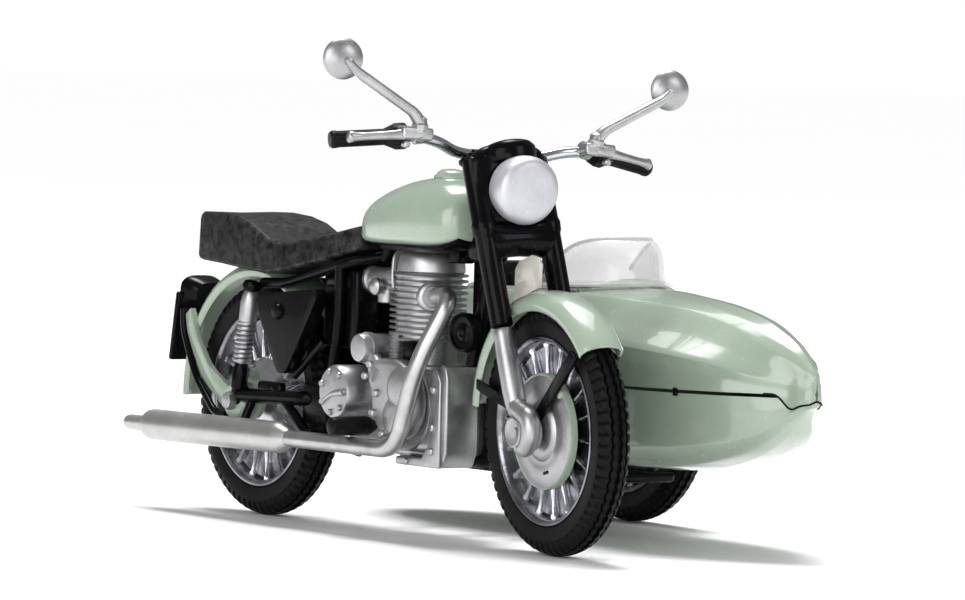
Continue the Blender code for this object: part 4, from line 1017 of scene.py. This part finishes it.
def cases():
    crank = block("crank", (-4.7, -54.2, 12.7), (5.3, -28.6, 25.2), 1.8, 5)
    hump = turned("hump", [(6.2, -4.9), (6.4, -4.6), (6.4, 5.2), (6.2, 5.4)], (0, -45.2, 19.6), (1, -45.2, 19.6), 48)
    floor = block("sump", (-4.0, -50.0, 12.4), (4.4, -32.0, 14.4), 0.5, 3)
    settle(merged("crankcase_look", crank, hump, floor), SILVER, "bike", "crankcase")
    outline = soft_line(arc((-45.6, 20.4), 5.6, -210, 10, 14)
                        + [(-38.9, 23.4), (-38.6, 25.6), (-41.0, 26.8), (-46.4, 26.9), (-49.0, 25.8)], (0.2,))
    cover = prism("cover", [(p.x, p.y) for p in outline], -8.0, -4.8, 0.9, 4)
    upper = turned("upper", [(3.3, 0), (3.3, 0.5), (2.9, 1.0), (2.0, 1.3), (0.4, 1.4)], (-7.4, -48.0, 22.6),
                   (-8.4, -48.0, 22.6), 32)
    web = tube("web", [(-6.6, -38.2, 27.4), (-6.8, -41.6, 24.0)], 1.5, 1.0, 6, (1.0, 1.8))
    heads = [(-40.0, 25.8), (-38.8, 24.0), (-48.2, 23.2), (-50.4, 17.4), (-43.8, 15.6), (-41.0, 18.6),
             (-41.8, 21.6)]
    bolts = copies("bolts", bolt(0.62, 0.55), [Matrix.Translation((-8.0, y, z)) @ Matrix.Rotation(-pi / 2, 4, "Y")
                                               for y, z in heads])
    boss = turned("boss", [(3.6, 0), (3.6, 0.2), (3.2, 0.6), (1.6, 0.8), (0.3, 0.82)], (-7.8, -47.4, 18.2),
                  (-8.8, -47.4, 18.2), 36)
    settle(merged("timing_cover_look", cover, upper, web, bolts, boss), SILVER, "bike", "timing_cover")
    drum = turned("drum", [(3.9, -0.3), (4.1, 0), (4.1, 4.2), (3.8, 4.65), (3.5, 4.72), (0.4, 4.75)],
                  *across(-32.4, 21.2, -4.9, -5.9), 48)
    face = Matrix.Rotation(-pi / 2, 4, "Y")
    ring_bolts = [Matrix.Translation((-9.6, -32.4 + 3.1 * sin(a), 21.2 + 3.1 * cos(a))) @ face
                  for a in (2 * pi * i / 7 + 0.3 for i in range(7))]
    rim_bolts = copies("bolts", bolt(0.52, 0.5), ring_bolts)
    lever = tube("lever", [(-9.9, -35.9, 21.4), (-9.9, -32.6, 21.0), (-9.8, -30.0, 19.8)], 0.35, 1.5, 3, (0.6, 0.25))
    neck = block("neck", (-7.6, -33.6, 15.6), (-4.6, -28.9, 22.4), 0.9, 3)
    settle(merged("gearbox_cover_look", drum, rim_bolts, lever, neck), SILVER, "bike", "gearbox_cover")
    barrel = turned("dynamo_body", [(1.9, -3.3), (2.15, -3.0), (2.2, 2.8), (2.0, 3.3), (1.6, 3.4), (0.3, 3.42)],
                    *across(-37.4, 28.1, -5.3, -6.3), 36)
    strap = ring("strap", [(-6.4, 2.1), (-6.4, 2.4), (-7.2, 2.4), (-7.2, 2.1)], (0, -37.4, 28.1), 36)
    settle(merged("dynamo_look", barrel, strap), SILVER, "bike", "dynamo")
    outline = soft_line([Vector(p) for p in arc((-46.5, 19.4), 5.7, 90, 270, 10)
                         + arc((-31.5, 19.8), 4.7, -90, 90, 10)], (0.25,))
    chain = prism("chain", [(p.x, p.y) for p in outline], 5.3, 8.3, 1.0, 4)
    heads = [(-50.6, 20.0), (-46.5, 23.8), (-39.0, 23.4), (-31.5, 23.2), (-28.0, 19.8), (-31.5, 16.2), (-39.0, 15.4),
             (-46.5, 15.0)]
    bolts = copies("bolts", bolt(0.5, 0.4), [Matrix.Translation((8.2, y, z)) @ Matrix.Rotation(pi / 2, 4, "Y")
                                             for y, z in heads])
    settle(merged("chaincase_look", chain, bolts), SILVER, "bike", "primary_chaincase")


def engine_shield():
    """Rounded front casting with a bolted flange and a foot under the crankcase."""
    outline = [(-56.3, 13.4), (-56.3, 24.6), (-55.8, 26.2), (-54.9, 26.7), (-54.3, 26.2), (-54.3, 12.5),
               (-44.4, 12.3), (-44.2, 11.2), (-55.2, 11.2)]
    front = prism("front", outline, -5.2, 0.7, 0.8, 5)
    flange = prism("flange", [(-55.6, 11.2), (-55.6, 24.0), (-54.4, 26.0), (-52.9, 25.2), (-52.6, 14.6),
                              (-51.0, 12.6), (-44.2, 12.4), (-44.0, 11.2)], -5.9, -4.9, 0.28, 3)
    places = [Matrix.Translation((-5.8, y, z)) @ Matrix.Rotation(-pi / 2, 4, "Y")
              for y, z in ((-53.9, 22.8), (-53.7, 17.2), (-53.6, 13.6), (-47.0, 11.8))]
    settle(merged("engine_shield_look", front, flange, copies("bolts", bolt(0.62, 0.5), places)), SILVER, "bike",
           "engine_shield")


def fittings():
    shape = [(2.0, -0.9), (2.9, -0.5), (3.0, 0.4), (2.85, 1.0), (2.5, 1.05), (2.3, 0.7), (1.5, 0.62), (1.2, 0.9),
             (0.7, 0.95), (0.4, 0.7), (0.1, 0.7)]
    horn = turned("horn_body", shape, (-2.4, -56.9, 31.4), (-3.4, -57.0, 31.4), 40)
    bracket = tube("bracket", [(-0.9, -56.9, 31.4), (0, -56.9, 33.0)], 0.7)
    settle(merged("horn_look", horn, bracket), BLACK, "bike", "horn")
    for side, sign in SIDES:
        y, z = (-37.3, 16.4) if sign < 0 else (-39.5, 12.6)
        start, end = across(y, z, sign * 5.2, sign * 6.2)
        shape = [(0.8, 0), (1.0, 0.4), (1.3, 0.9), (1.45, 1.6), (1.45, 7.0), (1.25, 7.8), (0.6, 8.1)]
        rubber = turned(side + "_footrest_look", shape, start, end, 28)
        settle(rubber, GRIPPY, "bike", side + "_footrest")
    settle(tube("loom", [(1.6, -57.6, 43.4), (3.2, -56.0, 38.4), (2.6, -54.6, 30.4)], 0.4, 2.5, 3), BLACK)
    # The cradle web is a black sheet of painted shade. It fills the gap between the cylinder fins and the fork.
    settle(block("shade_fill_web", (3.0, -57.0, 11.0), (3.6, -50.4, 42.6), 0.2, 1), BLACK)


def exhaust():
    route = [(-3.4, -50.4, 36.5), (-5.4, -57.4, 36.9), (-9.5, -54.4, 26.5), (-9.5, -49.6, 13.6), (-9.5, -20.4, 13.4)]
    settle(tube("exhaust_look", route, 1.32, 4.0, 7, None, 12), BRIGHT_SATIN, "bike", "exhaust_pipe")
    shape = [(1.36, 0), (1.5, 0.3), (2.2, 1.9), (2.4, 2.6), (2.42, 3.4), (2.42, 39.4), (2.3, 40.2), (1.9, 40.9),
             (1.32, 41.3), (1.22, 41.6), (1.22, 46.6), (1.1, 47.2), (0.9, 47.3), (0.85, 45.2), (0.3, 45.2)]
    start, end = Vector((-9.5, -20.6, 13.4)), Vector((-9.5, 27.0, 12.9))
    body = turned("silencer_look", shape, start, start + (end - start).normalized(), 48)
    settle(body, SATIN, "bike", "silencer")
    hanger = tube("silencer_hanger", [(-7.8, -4.4, 14.6), (-6.3, -4.4, 17.8)], 0.7, 1.0, 4)
    settle(hanger, BLACK)


barrel_and_head()
carburettor()
cases()
engine_shield()
fittings()
exhaust()


# Sidecar ----------------------------------------------------------------------

# y; height of the centre line; ridge, shoulder, chine: half width and height; keel height
HULL = [
    (-98.3, 26.0, 0.1, 25.9, 0.15, 24.6, 0.15, 23.4, 23.2),
    (-98.0, 27.4, 0.6, 27.2, 0.9, 25.4, 0.8, 22.9, 22.5),
    (-96.4, 29.0, 1.3, 28.0, 1.8, 25.5, 1.6, 22.4, 21.8),
    (-94.0, 31.0, 2.3, 29.4, 3.0, 25.8, 2.7, 20.6, 20.0),
    (-90.4, 32.9, 3.4, 30.9, 6.1, 26.7, 5.5, 18.0, 17.2),
    (-84.6, 35.0, 4.2, 33.3, 10.2, 28.4, 9.4, 16.6, 14.4),
    (-76.0, 36.6, 4.8, 35.4, 13.6, 29.7, 12.8, 15.6, 12.2),
    (-66.0, 37.5, 6.4, 36.4, 15.0, 30.4, 14.2, 15.4, 11.2),
    (-56.0, 38.0, 9.0, 36.9, 15.3, 30.9, 14.6, 16.2, 11.1),
    (-40.0, 38.1, 10.8, 36.9, 15.3, 31.0, 14.6, 16.2, 11.1),
    (-22.0, 37.3, 10.3, 36.2, 15.1, 30.6, 14.4, 16.3, 11.2),
    (-8.0, 35.0, 8.4, 34.0, 13.3, 29.5, 12.6, 16.7, 11.9),
    (4.0, 31.6, 5.0, 30.8, 9.2, 28.0, 8.5, 17.6, 14.0),
    (11.6, 28.2, 1.6, 27.8, 2.6, 26.2, 2.3, 20.6, 19.8),
    (13.0, 26.6, 0.1, 26.4, 0.15, 25.0, 0.15, 22.6, 22.2),
]


def mirrored(half, y):
    """Full row across the body from half an outline that starts at the middle."""
    left = [(SIDECAR_X + p.x, y, p.y) for p in half]
    return [(2 * SIDECAR_X - x, y, z) for x, y, z in reversed(left[1:])] + left


def hull_rows(upper):
    """Cross rows of one half shell; the upper one laps down over the nose as a rounded beak."""
    rows = []
    for y, top, ridge, ridge_z, side, side_z, chine, chine_z, keel in between(HULL, 6):
        waist = (side + chine) / 2
        if upper:
            beak = min(1.0, max(0.0, (-92.8 - y) / 3.2))
            drop = min(2.8, 0.85 * (SEAM_Z + 0.4 - chine_z)) * beak * beak * (3 - 2 * beak)
            dent = 0.07 * side
            rim = waist + (chine - waist) * drop / (SEAM_Z - chine_z) + (0.2 + 0.25 * beak) * min(1.0, waist)
            half = [(0, top), (ridge * 0.6, top - (top - ridge_z) * 0.35), (ridge, ridge_z),
                    ((ridge + side) / 2 - dent * 0.2, (ridge_z + side_z) / 2 - dent * 0.2), (side + 0.1, side_z),
                    (waist - dent * 0.45 + 0.2, SEAM_Z + 0.62 * (side_z - SEAM_Z)),
                    (waist + (0.15 + 0.2 * beak) * min(1.0, waist), SEAM_Z + 0.6 - drop * 0.6),
                    (rim, SEAM_Z + 0.25 - drop)]
        else:
            dip = 0.06 * chine
            half = [(0, keel), (chine * 0.5, keel + 0.14 * (chine_z - keel)),
                    (chine * 0.88, keel + 0.52 * (chine_z - keel)), (chine, chine_z),
                    (waist - dip * 0.5, (chine_z + SEAM_Z) / 2), (waist - 0.3 * min(1.0, waist), SEAM_Z - 0.3)]
        rows.append(mirrored(soft_line(half, (0.1, 0.22)), y))
    return rows


def hull():
    deck = skin("deck", hull_rows(True), closed=False)
    modify(deck, "SOLIDIFY", thickness=0.7, offset=-1.0)
    opening = block("opening", (SIDECAR_X - 8.8, -50.2, 26), (SIDECAR_X + 8.8, -19.2, 56), 3.8, 6)
    cut_out(deck, opening)
    settle(named_piece(deck, "upper_hull_look"), GREEN, "bike", "upper_hull", 26)
    belly = skin("belly", hull_rows(False), closed=False)
    modify(belly, "SOLIDIFY", thickness=0.7, offset=-1.0)
    settle(named_piece(belly, "lower_hull_look"), GREEN, "bike", "lower_hull", 26)
    # The black line along the beak's lapped edge is painted shade in the gap between the two shells.
    lapped = [row for row in hull_rows(True) if row[0][1] < -91.6]
    seam = [Vector(row[0]) for row in reversed(lapped)] + [Vector(row[-1]) for row in lapped]
    settle(tube("beak_seam_shade", seam, 0.15, 0.2, 2, None, 1), BLACK, "bike")


def latch():
    made = block("seam_latch", (-0.2, -0.35, -0.7), (0.35, 0.35, 0.5), 0.12, 2,
                 Matrix.Translation((SIDECAR_X - 12.1, -80.0, SEAM_Z)))
    settle(made, BLACK)


def screen():
    """Clear wrap-round screen on a flanged foot, its top curled inwards."""
    def row(height, lean):
        places = []
        for step in range(49):
            a = radians(-8 + 196 * step / 48)
            back = abs(step - 24) / 24
            foot = 38.3 - 0.9 * (1 - sin(a))
            top = 45.2 - 5.0 * back ** 4
            places.append((SIDECAR_X + 9.4 * lean * cos(a), -42.5 - 12.4 * lean * sin(a),
                           foot + (top - foot) * height))
        return places
    curl = ((0.0, 1.0), (0.2, 0.995), (0.5, 0.975), (0.7, 0.95), (0.82, 0.92), (0.92, 0.875), (0.98, 0.825),
            (1.0, 0.79))
    sheet = skin("screen", [row(height, lean) for height, lean in curl], closed=False)
    modify(sheet, "SOLIDIFY", thickness=0.75, offset=-1.0)
    foot = [Vector(p) + Vector((0, 0, 0.15)) for p in row(0, 1.0)]
    spread = ((0.99, 0.5), (1.02, 0.28), (1.07, 0.1), (1.13, 0.0))
    flange = skin("flange", [[(SIDECAR_X + (p.x - SIDECAR_X) * g, -42.5 + (p.y + 42.5) * g, p.z + lift)
                              for p in foot] for g, lift in spread], closed=False)
    modify(flange, "SOLIDIFY", thickness=0.4, offset=0.0)
    settle(merged("windscreen_look", sheet, flange), CLEAR, "bike", "windscreen", 45)
    bead = [Vector(p) for p in row(1.0, 0.785)]
    settle(tube("screen_edge", bead, 0.3, 0.3, 3, None, 1), EDGE, "bike")


def interior():
    lean = Matrix.Translation((SIDECAR_X, -23.8, 21)) @ Matrix.Rotation(radians(-4), 4, "X")
    cushion = block("cushion", (SIDECAR_X - 8.1, -38, 18.5), (SIDECAR_X + 8.1, -21, 23.2), 1.2, 4)
    back = block("back", (-7.8, -1.8, 0), (7.8, 1.6, 19.8), 1.1, 4, lean)
    pleats = [block("pleat", (x - 1.0, -2.15, 3.0), (x + 1.0, -1.2, 18.0), 0.4, 3, lean)
              for x in (-5.4, -2.7, 0, 2.7, 5.4)]
    settle(merged("sidecar_seat_look", cushion, back, *pleats), SEATING, "bike", "sidecar_seat")
    floor = block("cockpit_floor", (SIDECAR_X - 12.6, -70, 15.9), (SIDECAR_X + 12.6, -20, 16.6), 0.2, 1)
    settle(floor, SEATING)
    rim = rounded_route([(SIDECAR_X - 8.9, -50.3, 0), (SIDECAR_X + 8.9, -50.3, 0), (SIDECAR_X + 8.9, -19.1, 0),
                         (SIDECAR_X - 8.9, -19.1, 0), (SIDECAR_X - 8.9, -50.3, 0)], 3.8, 8)
    lifted = [Vector((p.x, p.y, 37.95 - 0.009 * (p.x - SIDECAR_X) ** 2 - max(0, p.y + 40) * 0.035)) for p in rim]
    settle(tube("cockpit_rim", lifted, 0.42, 0.2, 3, None, 1), GREEN)


def chassis():
    wheel_x = SIDECAR_AXLE.x
    loop = [(24.4, -49, 9.2), (24.4, 2.0, 9.2), (37.6, 2.0, 9.2), (37.6, -49, 9.2)]
    parts = [tube("loop", loop, 1.0, 6.0), tube("front_strut", [(9.6, -48.0, 13.4), (24.6, -48.0, 9.2)], 1.0),
             tube("rear_strut", [(7.2, -23.6, 18.0), (24.6, -18.0, 9.2)], 1.0),
             tube("front_cross", [(24.0, -48.0, 9.2), (38.0, -48.0, 9.2)], 1.0),
             block("axle_plate", (46.7, -30.0, 8.4), (47.9, -22.4, 20.4), 0.35, 3),
             block("axle_bridge", (24.0, -28.0, 8.4), (47.4, -24.4, 10.2), 0.4, 3),
             block("step", (22.8, -53.2, 8.3), (39.4, -47.4, 9.9), 0.5, 3)]
    start, end = across(SIDECAR_AXLE.y, WHEEL_R, 47.3, 48.3)
    parts.append(turned("stub", [(0.74, 0), (0.74, wheel_x + 1.6 - 47.3), (1.35, wheel_x + 1.7 - 47.3),
                                 (1.4, wheel_x + 2.5 - 47.3), (1.0, wheel_x + 2.78 - 47.3)], start, end, 28))
    settle(merged("sidecar_chassis_look", *parts), BLACK, "bike", "sidecar_chassis")
    made = guard_shape("sidecar_mudguard_look", SIDECAR_AXLE, 3.1, 19.85, 1.3, radians(-70), radians(70), 48)
    settle(made, GREEN, "bike", "sidecar_mudguard")


hull()
latch()
screen()
interior()
chassis()


# Studio -----------------------------------------------------------------------

def studio():
    """Pale floor running out of sight, softboxes round it and a bright plain background."""
    take()
    bpy.ops.mesh.primitive_plane_add(size=40, location=(0, 0, 0))
    floor = named("floor")
    white = Finish("floor_white", None, roughness=0.9)
    white.drive("Base Color", white.mix(white.noise(3, 2), (0.96, 0.96, 0.96), (0.98, 0.98, 0.98)))
    floor.data.materials.append(white.made)
    world = bpy.data.worlds.new("studio")
    world.use_nodes = True
    nodes, links = world.node_tree.nodes, world.node_tree.links
    seen = nodes.new("ShaderNodeLightPath").outputs["Is Camera Ray"]
    level = nodes.new("ShaderNodeMapRange")
    level.inputs["To Min"].default_value = 0.24
    level.inputs["To Max"].default_value = 1.0
    links.new(seen, level.inputs["Value"])
    links.new(level.outputs[0], nodes["Background"].inputs["Strength"])
    nodes["Background"].inputs["Color"].default_value = (1, 1, 1, 1)
    bpy.context.scene.world = world
    bpy.context.scene.view_settings.view_transform = "Standard"
    for name, place, size, watts in (("high_softbox", (0.20, 0.25, 0.9), 0.6, 3.5),
                                     ("right_softbox", (-0.75, -0.30, 0.30), 0.55, 3.2),
                                     ("front_softbox", (0.30, -0.95, 0.55), 0.5, 2.6),
                                     ("low_softbox", (-0.55, -0.75, 0.10), 0.35, 1.2)):
        shine(name, "AREA", place, watts).size = size
    shine("overhead", "SUN", (0.12, 0.30, 1.0), 2.7).angle = radians(22)


def shine(name, kind, place, strength):
    light = bpy.data.lights.new(name, kind)
    light.energy = strength
    lamp = bpy.data.objects.new(name, light)
    bpy.context.scene.collection.objects.link(lamp)
    lamp.location = place
    lamp.rotation_euler = (Vector((0, 0, 0.03)) - lamp.location).to_track_quat("-Z", "Y").to_euler()
    return light


def camera():
    """Long lens from ahead of the rider's right, just above the handlebars."""
    turn, rise, roll = radians(-34.51), radians(2.26), radians(1.57)
    back = Vector((sin(turn) * cos(rise), -cos(turn) * cos(rise), sin(rise)))
    right = Vector((cos(turn), sin(turn), 0))
    up = back.cross(right)
    tilted = right * cos(roll) + up * sin(roll)
    risen = up * cos(roll) - right * sin(roll)
    lens = bpy.data.cameras.new("view")
    lens.lens, lens.sensor_width, lens.clip_start = 220.8, 36, 0.01
    made = bpy.data.objects.new("view", lens)
    bpy.context.scene.collection.objects.link(made)
    aim = Matrix((tilted, risen, back)).transposed().to_4x4()
    made.matrix_world = Matrix.Translation(IN_FRAME @ Vector((-494.6, -776.8, 70.7))) @ aim
    bpy.context.scene.camera = made


studio()
camera()
